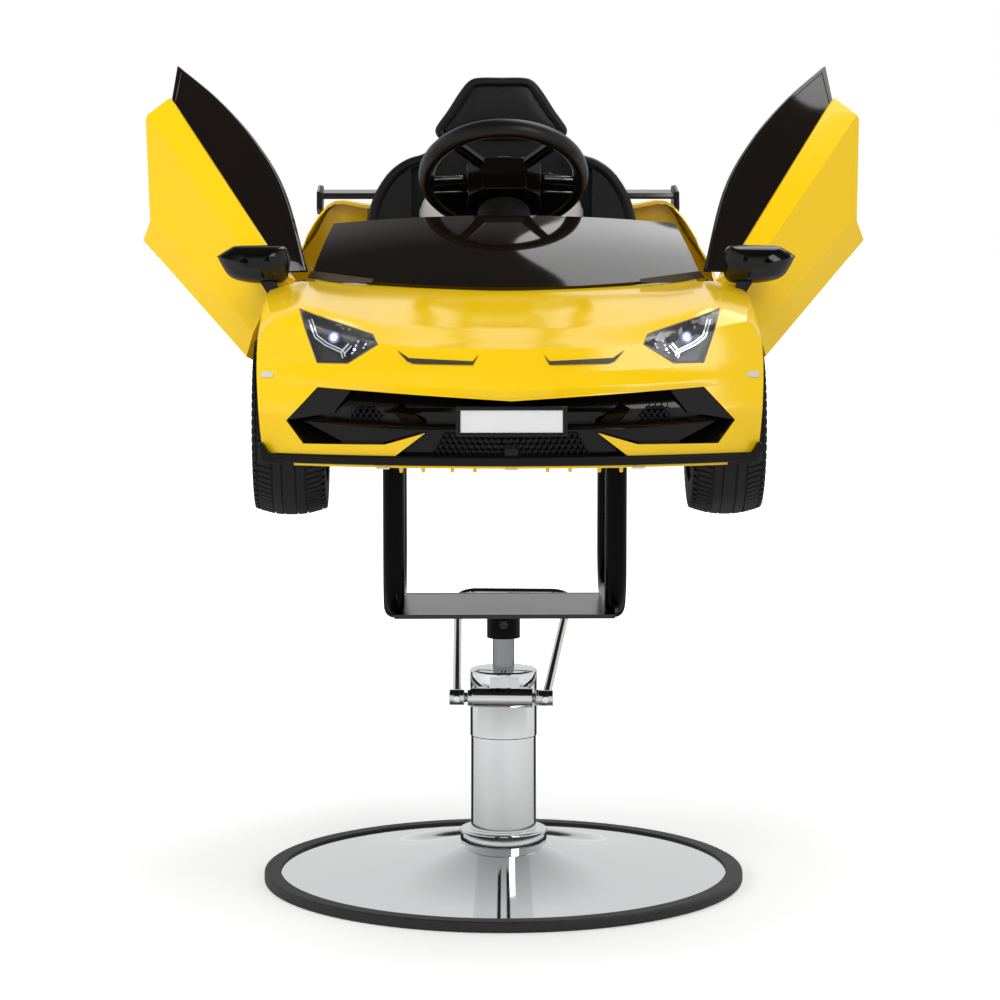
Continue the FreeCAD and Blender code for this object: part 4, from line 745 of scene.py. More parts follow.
# %% Flange and pegs
flange = skin_slab(rect(-228, 228, 71.2, 73.8), -1.5, 26, follow=plan_curve)
pegs = []
for x in (38, 61.5, 92, 115):
    for side in (-1, 1):
        peg = bmesh.new()
        bmesh.ops.create_cone(peg, segments=16, radius1=1.7 * MM, radius2=2.4 * MM, depth=6 * MM,
                              cap_ends=True, matrix=Matrix.Translation(on_car(side * x, -517, 68.4)))
        pegs.append(peg)
made("nose_flange_and_pegs", joined([flange] + pegs), yellow_body, "yellow_body", bevel_mm=0.4)

# %% Lip, its turned-up ends and its clips
rounded_copy("front_lip", 1.6, black_satin)
clips = [skin_slab(rect(x - 7, x + 7, 69.8, 71.8), -4.8, 2, cuts=6, follow=plan_curve)
         for x in (-134, 0, 133)]
made("lip_clips", joined(clips), marker_grey, "plate_white", bevel_mm=0.3)
lip_end = prism([(238, 71), (262, 74), (266, 92), (261, 95), (254, 84), (238, 82)], -494, -478)
made("lip_ends", with_mirror(lip_end), black_satin, "black_satin", bevel_mm=1.8, segments=3)
print("lip ready")


# %% [markdown]
# ## Number plate
# A white panel in a black frame, flat where the nose behind it bows. It stays blank.

# %% Number plate
PLATE_Y = -537


def plate_plane(x, h):
    return PLATE_Y


plate_frame = skin_slab(rect(-58, 58, 104.5, 136.5), -3, 8, cuts=3, follow=plate_plane)
plate_frame = with_cuts(plate_frame, [prism(rect(-53.5, 53.5, 108.5, 132.5), PLATE_Y - 4, PLATE_Y - 0.4)])
made("number_plate_frame", plate_frame, black_gloss, "black_gloss", ("number_plate",), 0.8)
panel = skin_slab(rect(-53.2, 53.2, 108.8, 132.2), -1.6, 1, cuts=3, follow=plate_plane)
made("number_plate_panel", panel, plate_white, "plate_white", bevel_mm=0.3)
print("plate ready")


# %% [markdown]
# ## Headlights
# Each lamp is a dark bowl with a round projector, a folded light bar, a row of small
# diodes and a clear lens over them. A thin seal holds the lens to the body. All of them
# follow the skin at their own depths, so that nothing pokes through the lens.

# %% Lens, seal and bowl
def offset_outline(outline, amount):
    """Move each side of a convex outline inwards by an amount."""
    count = len(outline)
    area = sum(outline[i][0] * outline[(i + 1) % count][1] - outline[(i + 1) % count][0] * outline[i][1]
               for i in range(count))
    turn = 1 if area > 0 else -1
    moved = []
    for i in range(count):
        before, here, after = Vector(outline[i - 1]), Vector(outline[i]), Vector(outline[(i + 1) % count])
        run1, run2 = (here - before).normalized(), (after - here).normalized()
        n1 = Vector((-run1.y, run1.x)) * turn
        n2 = Vector((-run2.y, run2.x)) * turn
        mid = (n1 + n2).normalized()
        moved.append(tuple(here + mid * (amount / max(0.3, mid.dot(n1)))))
    return moved


lens_outline = offset_outline(headlight, 1.1)
made("headlight_lens_pair", with_mirror(skin_slab(lens_outline, 0.4, 2.2)), clear_lens, "clear_lens",
     ("headlight_lenses",))
seal = with_cuts(skin_slab(headlight, 0.1, 5), [prism(lens_outline, -800, 0)])
made("headlight_rims", with_mirror(seal), lamp_seal, "trim_grey", bevel_mm=0.3)
dish = skin_slab(offset_outline(headlight, 1.5), 2, 17)
bowl = with_cuts(skin_slab(grown(headlight, 1), 4.2, 24), [dish])
made("headlight_bowls", with_mirror(bowl), lamp_dark, "lamp_dark", ("headlight_housings",), 0.5)


# %% Folded light bars
BAR_DEPTHS = (8, 16)    # front and back of a bar, behind the skin


def bar_along(points, half_width):
    """A light bar that follows a folded line on the skin (x, height)."""
    pieces = []
    for (x1, h1), (x2, h2) in zip(points, points[1:]):
        run = Vector((x2 - x1, h2 - h1)).normalized()
        across = Vector((-run.y, run.x)) * half_width
        corners = [(x1 + across.x, h1 + across.y), (x2 + across.x, h2 + across.y),
                   (x2 - across.x, h2 - across.y), (x1 - across.x, h1 - across.y)]
        pieces.append(skin_slab(corners, *BAR_DEPTHS, cuts=4))
    return pieces


bar_line = [(213.8, 221), (206.5, 203), (196, 195.5), (178.5, 188), (176.5, 182)]
bars = []
for shift in (0, 2.6):
    bars += bar_along([(x - shift, h + shift * 0.7) for x, h in bar_line], 0.7)
bars += bar_along([(178.5, 188), (170.5, 197)], 1.0)
bars += bar_along([(175.5, 186), (167.5, 195)], 0.7)
made("headlight_light_bars", with_mirror(joined(bars)), lamp_reflector, "clear_lens", bevel_mm=0.3)


# %% Projector, halo and diodes
def round_lamp(x, h, radius, depth, deep):
    """A lamp tube with a domed end, at a depth behind the skin."""
    centre = on_skin(x, h, depth)
    shape = bmesh.new()
    facing = Matrix.Translation(centre) @ Matrix.Rotation(math.pi / 2, 4, "X")
    bmesh.ops.create_cone(shape, segments=32, radius1=radius * MM, radius2=radius * 0.92 * MM,
                          depth=deep * MM, cap_ends=True, matrix=facing)
    caps = [f for f in shape.faces if f.calc_center_median().y < centre.y - deep * 0.4 * MM]
    bmesh.ops.inset_region(shape, faces=caps, thickness=radius * 0.35 * MM, depth=0.6 * MM)
    return shape


lit = [round_lamp(186.5, 203, 3.6, 7.5, 6), round_lamp(164.5, 191, 1.5, 8, 3)]
made("headlight_diodes_lit", with_mirror(joined(lit)), led_white, "clear_lens")
halo = with_cuts(round_lamp(186.5, 203, 6.0, 7.2, 7), [round_lamp(186.5, 203, 4.7, 7.0, 12)])
made("headlight_halo_rings", with_mirror(halo), halo_ring, "clear_lens")
cup_places = ((160.5, 199), (152.5, 196), (162.5, 195), (154.5, 192.5), (166.5, 187))
cups = joined([round_lamp(x, h, 1.7, 9, 4) for x, h in cup_places])
made("headlight_reflector_cups", with_mirror(cups), lamp_reflector, "clear_lens", bevel_mm=0.25)
print("headlights ready")


# %% [markdown]
# ## Small trims on the bonnet
# Two dark strips with turned-up ends and two pale markers on the wings. They are thin
# slabs on the skin, proud by a millimetre, as a clipped-in trim is.

# %% Bonnet strips and side markers
strip = [(34.5, 187.5), (40, 181.2), (107, 184), (119, 191.5), (108.5, 180.5), (102, 178.2), (40, 177.4)]
made("bonnet_strips", with_mirror(skin_slab(strip, -1.0, 1.5)), trim_grey, "trim_grey", ("hood_trims",), 0.4)
marker = [(250, 166.5), (262, 168), (264.5, 163.5), (261, 160.8), (251, 162.5)]
made("side_markers", with_mirror(skin_slab(marker, -0.8, 1.5, cuts=10)), marker_grey, "plate_white",
     bevel_mm=0.3)
print("trims ready")


# %% [markdown]
# ## Rear body
# The rear moulding is mapped in the same way: two fins stand beside the seat and run
# down over the rear wings to an upright tail that bows.

# %% Rear body form
rear_stations = [
    (30, [(266, 60), (272, 118), (269, 165), (264, 240), (248, 266), (236, 283), (150, 296), (0, 300)]),
    (190, [(268, 60), (276, 118), (276, 190), (266, 245), (248, 276), (232, 300), (150, 309), (0, 312)]),
    (250, [(268, 60), (278, 118), (280, 200), (270, 250), (240, 290), (212, 331), (148, 325), (0, 324)]),
    (330, [(268, 60), (278, 118), (282, 205), (272, 250), (240, 282), (203, 316), (145, 323), (0, 326)]),
    (450, [(266, 60), (276, 125), (280, 200), (266, 240), (232, 262), (186, 283), (125, 293), (0, 297)]),
    (560, [(256, 60), (266, 130), (268, 185), (252, 215), (222, 236), (170, 250), (110, 258), (0, 262)]),
]
rear_edge = [(0, 40), (212, 40), (212, 148), (42, 148), (42, 150), (52, 174), (177, 251), (196, 286),
             (250, 322), (254, 400), (0, 400)]
tail_light = [(120, 238), (215, 222), (236, 200), (212, 206), (180, 190), (184, 214), (120, 222)]
diffuser = [(-238, 150), (238, 150), (214, 112), (190, 74), (-190, 74), (-214, 112)]
TAIL_Y = 535            # the rearmost line of the tail
TAIL_BOW = 35           # how far its corners fall forward from there


def tail_face(x, h):
    return TAIL_Y - TAIL_BOW * (x / BODY_WIDTH) ** 2


def rear_blank():
    return mapped_body(rear_stations, 30, tail_face, 34)


# %% Rear body cut and placed
def slab_box(x, y0, y1, h0, h1):
    """A box as wide to the left as to the right."""
    return prism(rect(-x, x, h0, h1), y0, y1)


rear_body = made("rear_body", with_cuts(walled(rear_blank()), [
    prism(rear_edge, -400, 400, "X"), slab_box(190, 0, 222, 100, 400), slab_box(128, 236, 430, 270, 400),
    wheel_hole(AXLE_Y), *twin_prisms(tail_light, 450, 700), prism(diffuser, 470, 700),
    slab_box(400, 0, 700, -60, 74)]), yellow_body, "yellow_body", ("rear_body_shell",))
print("rear body faces", len(rear_body.data.polygons))


# %% [markdown]
# ## Doors
# A door is a yellow panel and a black window with a raised rim. The panels are packed
# standing open, so their copies only need rounded edges. The window is bent on the
# closed door, where its lines are known, and then swung open on the slanting hinge.

# %% The closed window and its hinge
hinge_line = Vector((0.36, 0.585, 0.727)).normalized()
hinge_place = Vector((-228, -178, 734)) * MM
open_door = (Matrix.Translation(hinge_place) @ Matrix.Rotation(math.radians(57), 4, hinge_line)
             @ Matrix.Translation(-hinge_place))
belt_front, belt_rear = Vector((-256, -190, 243.5)), Vector((-235, 187, 283))
belt_length = belt_rear.y - belt_front.y
window_roof = [(-226, -166, 258), (-214, -44, 301), (-209, 53, 316), (-208, 150, 318), (-208, 242, 311)]


def window_place(u, t):
    """A place on the closed left window: u from front to rear, t from the belt to the roof edge."""
    low_start = belt_front.lerp(belt_rear, (-166 - belt_front.y) / belt_length)
    low_end = belt_front.lerp(belt_rear, (186 - belt_front.y) / belt_length)
    low = low_start.lerp(low_end, u) + Vector((3, 0, 0))
    return low.lerp(through(window_roof, u * 4), t)


def window_sheet(u0, band_mm, outside, inner, columns=40):
    """The window from u0 to its rear end, or only a band of it along the roof edge."""
    def rule(a, b, c):
        u = u0 + (1 - u0) * (a + 1) / 2
        tall = (window_place(u, 1) - window_place(u, 0)).length
        low = 1 - min(0.9, band_mm / tall) if band_mm else 0
        place = window_place(u, low + (1 - low) * (c + 1) / 2)
        return on_car(place.x + (outside if b < 0 else inner), place.y, place.z)
    return shaped(cube_grid(columns, 6), rule)


# %% Door panels and windows
for side in ("left", "right"):
    rounded_copy("door_" + side + "_panel", 2.2, angle=12, segments=3)
    shape = joined([window_sheet(0, 0, 1.0, 6.0), window_sheet(0, 6, 0.0, 5.8),
                    window_sheet(0.972, 0, 0.05, 5.7, columns=3)])
    bmesh.ops.transform(shape, matrix=open_door, verts=shape.verts)
    if side == "right":
        flipped(shape)
    made("door_" + side + "_window_finished", shape, window_black, "black_gloss",
         ("door_" + side + "_window",), 0.6, 40, body="door_" + side)
print("doors ready")


# %% [markdown]
# ## Windshield
# One bowed sheet of dark plastic. A flat grid is bent over two arcs, and three insets
# press a ridge into it just inside its edge before it gets its thickness.

# %% Windshield
def bowed_sheet(low, high, columns, rows):
    """A sheet between two arcs, each given by its end and middle points (half width, y, height)."""
    shape = bmesh.new()
    bmesh.ops.create_grid(shape, x_segments=columns, y_segments=rows, size=1)

    def rule(u, v, _):
        t = (v + 1) / 2
        ends = Vector(low[0]).lerp(Vector(high[0]), t)
        middle = Vector(low[1]).lerp(Vector(high[1]), t)
        bulge = 5 * math.sin(math.pi * t) * (1 - 0.4 * u * u)
        return on_car(ends.x * u, middle.y + (ends.y - middle.y) * u * u - 0.45 * bulge,
                      middle.z + (ends.z - middle.z) * u * u + 0.9 * bulge)
    shaped(shape, rule)
    bmesh.ops.recalc_face_normals(shape, faces=shape.faces)
    if shape.faces[:][0].normal.z < 0:
        bmesh.ops.reverse_faces(shape, faces=shape.faces)
    return shape


screen = bowed_sheet([(221, -184, 258), (0, -235, 246)], [(200, -62, 313), (0, -84, 323)], 48, 14)
whole = screen.faces[:]
for inset_mm, depth_mm in ((6, 0), (0.8, 1.1), (0.8, -1.8)):
    bmesh.ops.inset_region(screen, faces=whole, thickness=inset_mm * MM, depth=depth_mm * MM,
                           use_even_offset=True)
bmesh.ops.solidify(screen, geom=screen.faces[:], thickness=4 * MM)
made("windshield_finished", screen, window_black, "black_gloss", ("windshield",), smooth_angle=25)


# %% Cowl trims at its lower corners
def cowl_face(x, h):
    return -140 - 51 * (1 - (x / 221) ** 2)


cowl = [(226, 254), (221, 262), (150, 254), (152, 250), (190, 249)]
made("cowl_trims", with_mirror(skin_slab(cowl, -50, -46, follow=cowl_face)), trim_grey, "trim_grey",
     bevel_mm=0.4)
print("windshield ready")


# %% [markdown]
# ## Turned forms
# Tyres, rims, hub pads and collars are profiles spun round an axis, as on a lathe.

# %% Spinning helper
def spun(profile, axis, steps=96, centre=(0, 0, 0)):
    """Spin a closed outline of (across, radius) pairs round an axis through a centre (mm)."""
    axis = Vector(axis)
    side = Vector((0, 0, 1)) if abs(axis.z) < 0.9 else Vector((0, 1, 0))
    shape = bmesh.new()
    points = [shape.verts.new((Vector(centre) + axis * across + side * radius) * MM)
              for across, radius in profile]
    edges = [shape.edges.new((points[i], points[(i + 1) % len(points)])) for i in range(len(points))]
    bmesh.ops.spin(shape, geom=points + edges, cent=Vector(centre) * MM, axis=axis, angle=math.tau,
                   steps=steps, use_merge=True, use_duplicate=False)
    bmesh.ops.remove_doubles(shape, verts=shape.verts, dist=0.001 * MM)
    bmesh.ops.recalc_face_normals(shape, faces=shape.faces)
    return shape


# %% [markdown]
# ## Soft forms
# Upholstery is never flat. A rolled border is a tube along the edge, a crowned pad swells
# from its outline, and a cloth pressure step swells it further until its sides pull in,
# which no fixed formula does as well.

# %% Rings of points joined by faces
def skinned(shape, rings, closed=False):
    """Join neighbouring rings of vertices by quads."""
    for first, second in zip(rings, rings[1:] + rings[:1] if closed else rings[1:]):
        for k in range(len(first)):
            n = (k + 1) % len(first)
            shape.faces.new((first[k], first[n], second[n], second[k]))


def smooth_line(points, steps=8):
    """A smooth curve through points, as a list of pairs."""
    return [tuple(through(points, i / steps)) for i in range((len(points) - 1) * steps)] + [points[-1]]


# %% Rolled border
def rolled_border(line, radius_mm, ring=14, flat=1.0, closed=False):
    """A tube along a line (mm). Its section can be flattened front to back, and it can close on itself."""
    shape = bmesh.new()
    turns = [math.tau * k / ring for k in range(ring)]
    rings = []
    for i, place in enumerate(line):
        after = line[(i + 1) % len(line)] if closed else line[min(i + 1, len(line) - 1)]
        before = line[i - 1] if closed else line[max(i - 1, 0)]
        run = (after - before).normalized()
        side = run.cross(Vector((0, 1, 0))).normalized()
        depth = side.cross(run)
        share = 1.0 if closed else min(1.0, 0.35 + 0.65 * math.sin(math.pi * i / (len(line) - 1)) * 4)
        offsets = [side * math.cos(t) + depth * math.sin(t) * flat for t in turns]
        rings.append([shape.verts.new((place + offset * radius_mm * share) * MM) for offset in offsets])
    skinned(shape, rings, closed)
    if not closed:
        shape.faces.new(rings[0])
        shape.faces.new(rings[-1][::-1])
    bmesh.ops.recalc_face_normals(shape, faces=shape.faces)
    return shape


# %% Crowned pad
def crowned_pad(outline, front, back, crown, rows=10, fullness=0.5):
    """A closed pad: an outline (x, height), a back face and a front face that swells by the crown (mm)."""
    middle = Vector(middle_of(outline))
    shape = bmesh.new()
    rings = []
    for r in range(rows):
        share = 1 - (r / rows) ** 1.5
        bulge = crown * max(0.0, 1 - share ** 2.6) ** fullness
        rings.append([shape.verts.new(on_car(middle.x + (x - middle.x) * share, front - bulge,
                                             middle.y + (h - middle.y) * share)) for x, h in outline])
    skinned(shape, rings)
    tip = shape.verts.new(on_car(middle.x, front - crown, middle.y))
    count = len(outline)
    for k in range(count):
        shape.faces.new((rings[-1][k], rings[-1][(k + 1) % count], tip))
    rear = [shape.verts.new(on_car(x, back, h)) for x, h in outline]
    for k in range(count):
        n = (k + 1) % count
        shape.faces.new((rings[0][k], rear[k], rear[n], rings[0][n]))
    shape.faces.new(rear)
    bmesh.ops.recalc_face_normals(shape, faces=shape.faces)
    return shape


# %% Cloth pressure
def inflated(shape, cap_mm, voxel_mm=4.0, pressure=4.0):
    """Swell a closed form with cloth pressure. No point moves further than the cap."""
    thing = loose_object("pad", shape)
    remesh = thing.modifiers.new("even_mesh", "REMESH")
    remesh.mode = "VOXEL"
    remesh.voxel_size = voxel_mm * MM
    even = bpy.data.meshes.new_from_object(thing.evaluated_get(bpy.context.evaluated_depsgraph_get()))
    thing.modifiers.clear()
    thing.data = even
    start = [vert.co.copy() for vert in even.vertices]
    cloth = thing.modifiers.new("pressure", "CLOTH")
    cloth.settings.use_pressure = True
    cloth.settings.uniform_pressure_force = pressure
    cloth.settings.effector_weights.gravity = 0
    for frame_number in range(1, 21):
        bpy.context.scene.frame_set(frame_number)
    swollen = bpy.data.meshes.new_from_object(thing.evaluated_get(bpy.context.evaluated_depsgraph_get()))
    thing.modifiers.clear()
    for vert, home in zip(swollen.vertices, start):
        move = vert.co - home
        vert.co = home + move * min(1.0, cap_mm * MM / max(move.length, 1e-9))
    thing.data = swollen
    bpy.context.scene.frame_set(1)
    result = bmesh.new()
    result.from_mesh(thing.data)
    bpy.data.objects.remove(thing)
    bmesh.ops.smooth_vert(result, verts=result.verts, factor=0.5, use_axis_x=True, use_axis_y=True,
                          use_axis_z=True)
    return result


# %% [markdown]
# ## Inner walls and the nose crease
# The real moulding folds over above the mouth. That crease is a ridge of its own here,
# laid on the skin, since the mapped grid is too coarse for so sharp a fold. The fins get
# closed fronts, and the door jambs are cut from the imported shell, whose lugs they carry.

# %% Crease above the mouth
def between(line, x):
    """Read a value at x from a line of (x, value) pairs."""
    first, second = next(((p, q) for p, q in zip(line, line[1:]) if x <= q[0]), line[-2:])
    return first[1] + (second[1] - first[1]) * (x - first[0]) / (second[0] - first[0])


ridge_height = [(0, 150.5), (86, 155.5), (174, 157.8), (246, 163.5)]
ridge_profile = [(18, 0.3), (14, -0.1), (10, -0.5), (6, -1.2), (3, -1.9), (0.9, -2.4), (0, -2.5),
                 (-0.8, -2.4)]
RIDGE_HALF = 244
ridge = bmesh.new()
rings = []
for k in range(-80, 81):
    x = k * RIDGE_HALF / 80
    peak = between(ridge_height, abs(x))
    low = max(141 + 12 * abs(x) / 203, peak - 7.5) + 0.3
    fade = 1 - (abs(x) / RIDGE_HALF) ** 8
    profile = [(peak + rise, depth * fade if depth < 0 else depth) for rise, depth in ridge_profile]
    profile += [(low, -0.2 * fade), (low, 2.0), (peak + 18, 2.5)]
    rings.append([ridge.verts.new(on_skin(x, h, depth)) for h, depth in profile])
skinned(ridge, rings)
ridge.faces.new(rings[0])
ridge.faces.new(rings[-1][::-1])
bmesh.ops.recalc_face_normals(ridge, faces=ridge.faces)
made("nose_crease", ridge, yellow_body, "yellow_body", smooth_angle=40)

# %% Closed fronts of the rear fins
bulkhead = with_cuts(rear_blank(), [slab_box(300, 262, 265, 96, 400)], "INTERSECT")
bmesh.ops.scale(bulkhead, vec=(0.983, 1, 1), verts=bulkhead.verts)
bmesh.ops.translate(bulkhead, vec=(0, 0, -3 * MM), verts=bulkhead.verts)
bulkhead = with_cuts(bulkhead, [slab_box(168, 200, 280, 60, 420)])
made("fin_fronts", bulkhead, yellow_body, "yellow_body", bevel_mm=0.5)

# %% Door jambs and hinge lugs inside the front body
jambs = []
for x0, x1 in ((-255, -196), (196, 255)):
    room = prism(rect(x0, x1, 100, 236), -240, -140)
    jambs.append(with_cuts(welded_copy("front_body_shell"), [room], "INTERSECT"))
made("door_jambs_and_lugs", joined(jambs), yellow_body, "yellow_body", bevel_mm=0.6)
print("inner walls ready")


# %% [markdown]
# ## Door mirrors and wing plates
# The mirror pods are rounded gloss shells on a short foot, with a glass set into the
# back. A crowned pad already has that form. The wing's end plates are hulls round the
# packed wing's own tips, a little thicker and with big round corners.

# %% Mirrors
pod_line = [(247, 255), (244, 273), (249, 289), (257, 291.5), (280, 292), (304, 291.5), (311, 289),
            (324, 281), (324.6, 279), (316, 263), (309, 256), (298, 252), (280, 249.5), (262, 249.5),
            (252, 251), (247, 255)]
pod_outline = smooth_line(pod_line, 3)[:-1]
pod = crowned_pad(pod_outline, -226, -205, 20, rows=14, fullness=0.7)
foot = prism([(256, 238), (266, 234), (277, 252), (258, 252)], -234, -214)
made("mirror_pods", with_mirror(joined([pod, foot])), black_gloss, "black_gloss", ("mirror_housings",),
     0.8, 40)
glass_outline = [(283 + (x - 283) * 0.86, 271.5 + (h - 271.5) * 0.84) for x, h in pod_outline]
made("mirror_glasses", with_mirror(prism(glass_outline, -205.2, -204.3)), mirror_glass, "chrome")

# %% Wing end plates
wing = welded_copy("rear_wing")
plates = []
for side in (-1, 1):
    plate = bmesh.new()
    for tip in [v.co for v in wing.verts if v.co.x * side > 233 * MM]:
        for x in (232.5, 239.8):
            plate.verts.new((side * x * MM, tip.y, tip.z))
    bmesh.ops.convex_hull(plate, input=plate.verts)
    bmesh.ops.dissolve_limit(plate, angle_limit=math.radians(1), verts=plate.verts, edges=plate.edges)
    plates.append(plate)
wing.free()
made("wing_end_plates", joined(plates), black_satin, "black_gloss", bevel_mm=3.0, segments=3)
print("mirrors and wing plates ready")


# %% [markdown]
# ## Seat
# The shell is a bucket with a thick rolled border round its shoulders, the grey panel
# is a stuffed pad and the headrest has the same rolled border. Soft forms start from
# a smooth outline that is swept and crowned.

# %% Headrest
head_half = [(0, 483), (28, 483), (40, 479), (52, 464), (66, 442), (79, 424), (82, 417), (78, 411)]
right = smooth_line(head_half, 4)
head_outline = right + [(-x, h) for x, h in reversed(right[1:])]
pad_outline = [(x * 0.92, 446 + (h - 446) * 0.90) for x, h in head_outline]
pad = inflated(crowned_pad(pad_outline, 181, 203, 5), cap_mm=3.0)
edge_line = [Vector((x * 0.93, 180, GROUND + 447 + (h - 447) * 0.92)) for x, h in head_outline]
seam_line = [Vector((p.x * 0.9, 178.6, 929 + (p.z - 929) * 0.88)) for p in edge_line]
headrest = made("headrest_finished", joined([pad, rolled_border(edge_line, 5.6, closed=True),
                                             rolled_border(seam_line, 1.1, 8, closed=True)]),
                seat_black, "seat_black", ("headrest",), smooth_angle=60)

# %% Bucket with its rolled shoulders
shoulder = [(163, 225), (163, 270), (163, 312), (154, 341), (138, 365), (119, 379), (98, 386), (84, 396)]
front_line = [(180, 8), (214, 40), (222, 122), (260, 140), (330, 152), (411, 160)]
bolsters = []
for side in (-1, 1):
    line = [Vector((side * (x - 4), between(front_line, h) + 3, h + GROUND))
            for x, h in smooth_line(shoulder, 6)]
    bolsters.append(rolled_border(line, 6.5, flat=1.2))
bucket = made("seat_shell_finished", joined([welded_copy("seat_shell")] + bolsters), seat_black, "seat_black",
              ("seat_shell",), 4.0, 28, 3)

# %% Grey back pad
pad_half = [(0, 182), (70, 183), (98, 188), (106, 204), (107, 250), (107, 305), (102, 332), (88, 354),
            (56, 368), (0, 371)]
right = smooth_line(pad_half, 4)
pad_outline = right + [(-x, h) for x, h in reversed(right[1:-1])]
backrest_line = [(180, 146), (200, 158), (300, 176), (396, 182)]
pad = crowned_pad(pad_outline, -2, 5, 3)
for vert in pad.verts:
    vert.co.y += between(backrest_line, vert.co.z / MM - GROUND) * MM
made_pad = made("seat_insert_finished", inflated(pad, cap_mm=4.0), seat_grey, "seat_grey", ("seat_insert",),
                smooth_angle=60)
print("seat ready")


# %% [markdown]
# ## Steering wheel
# A padded rim with a slightly oval grip, four spokes that widen into it, a big moulded
# hub block and two silver trims on the middle spokes. It is made flat, where every
# place is easy to say, and then tilted to the column.

# %% Rim, spokes and blocks
column_line = Vector((0, 0.616, 0.788)).normalized()
wheel_tilt = Vector((0, 0, 1)).rotation_difference(column_line).to_matrix().to_4x4()
wheel_frame = Matrix.Translation(on_car(0, 0, 367)) @ wheel_tilt


def tilted(shape):
    bmesh.ops.transform(shape, matrix=wheel_frame, verts=shape.verts)
    return shape


def grip_ring(radius, grip, ring=20):
    """The rim: a spun ring whose grip is thicker at the sides, where the hands hold it."""
    turns = [math.tau * k / ring for k in range(ring)]
    shape = spun([(math.sin(t) * grip * 1.32, radius + math.cos(t) * grip) for t in turns], (0, 0, 1), 120)

    def rule(x, y, z):
        flat = Vector((x, y, 0))
        share = 0.95 + 0.05 * abs(x) / flat.length
        middle = flat.normalized() * radius * MM
        return middle + (flat - middle) * share + Vector((0, 0, z * share))
    return shaped(shape, rule)


def spoke(degrees, outer, width_in, width_out, low, high):
    shape = bmesh.new()
    bmesh.ops.create_cube(shape, size=2)
    shaped(shape, lambda a, b, c: Vector((24 if a < 0 else outer, b / 2 * (width_in if a < 0 else width_out),
                                          low if c < 0 else high)) * MM)
    bmesh.ops.transform(shape, matrix=Matrix.Rotation(math.radians(degrees), 4, "Z"), verts=shape.verts)
    return shape


def block(points, low, high, taper=1.0):
    """A prism along the column from a plan of the hub, drawn in towards its far end."""
    shape = bmesh.new()
    face = shape.faces.new([shape.verts.new(Vector((x, y, high)) * MM) for x, y in points])
    swept = bmesh.ops.extrude_face_region(shape, geom=[face])["geom"]
    for vert in [g for g in swept if isinstance(g, bmesh.types.BMVert)]:
        vert.co = Vector((vert.co.x * taper, vert.co.y * taper, low * MM))
    bmesh.ops.recalc_face_normals(shape, faces=shape.faces)
    return shape


# %% Hub, spokes and web
hub_plan = [(-27, -38), (27, -38), (44, -24), (46, 6), (32, 29), (-32, 29), (-46, 6), (-44, -24)]
spokes = []
for degrees, width_in, width_out in ((6, 30, 22), (174, 30, 22), (-50, 14, 13), (-130, 14, 13)):
    spokes.append(spoke(degrees, 86, width_in, width_out, -9, -3))
    spokes.append(spoke(degrees, 84, width_in * 0.45, width_out * 0.45, -12, -8))
turns = [math.radians(12 + 156 * k / 24) for k in range(25)]
web_outline = [(88 * math.cos(t), 88 * math.sin(t)) for t in turns] + [(-36, 10), (36, 10)]
spokes.append(block(web_outline[::-1], -9, -5))
BORE = 19.6             # clear of the horn button
turns = [math.tau * k / 48 for k in range(48)]
bore_plan = [(BORE * math.cos(t), BORE * math.sin(t)) for t in turns]
hub = with_cuts(block(hub_plan, -46, -2, 0.95), [block(bore_plan, -16, 30)])
cap_plan = [(x * 0.8, y * 0.8) for x, y in hub_plan]
hub_cap = with_cuts(block(cap_plan, -2, 5, 1.08), [block(bore_plan, -16, 30)])
centre_pad = spun([(0.5, BORE), (5, BORE), (8, 21), (8, 28), (5, 30), (0.5, 30)], (0, 0, 1), 48)
music_pod = spun([(-9, 5.2), (3, 5.2), (3, 8.5), (2.2, 9), (-9, 9)], (0, 0, 1), 32)
bmesh.ops.translate(music_pod, verts=music_pod.verts, vec=Vector((52, 6, 0)) * MM)
made("steering_wheel_core", tilted(joined(spokes + [hub, hub_cap, centre_pad, music_pod])), black_gloss,
     "black_satin", ("steering_wheel",), 1.6, 30, body="steering")

# %% Grip, trims and buttons
made("steering_wheel_grip", tilted(grip_ring(91.5, 9.5)), wheel_grip, "black_satin", smooth_angle=60,
     body="steering")
trims = []
for side in (-1, 1):
    for y0, y1 in ((13, 16), (-12, -9)):
        strip = [(side * 48, y0), (side * 82, y0 + 2), (side * 82, y1 + 2), (side * 48, y1)]
        trims.append(block(strip[::side], -13, -8.5))
made("steering_wheel_trims", tilted(joined(trims)), chrome, "black_satin", bevel_mm=0.4, body="steering")
for node in ("horn_button", "music_button"):
    rounded_copy(node, 0.6, angle=30)
print("steering wheel ready")


# %% [markdown]
# ## Tyres and rims
# A tyre is a profile spun round its axle, with three ribs spun on top. Its slanting
# tread and its shoulder lugs are small blocks, each bent to the tyre's own curve and
# repeated round the wheel by a loop. The rim is spun too, and cut by five windows.

# %% Tread forms
HALF_TREAD = 39
AROUND = (1, 0, 0)      # the axle's direction


def crown(x):
    """The tyre's radius falls away towards its shoulders (mm)."""
    return WHEEL_RADIUS - 7.5 * (abs(x) / HALF_TREAD) ** 2.3


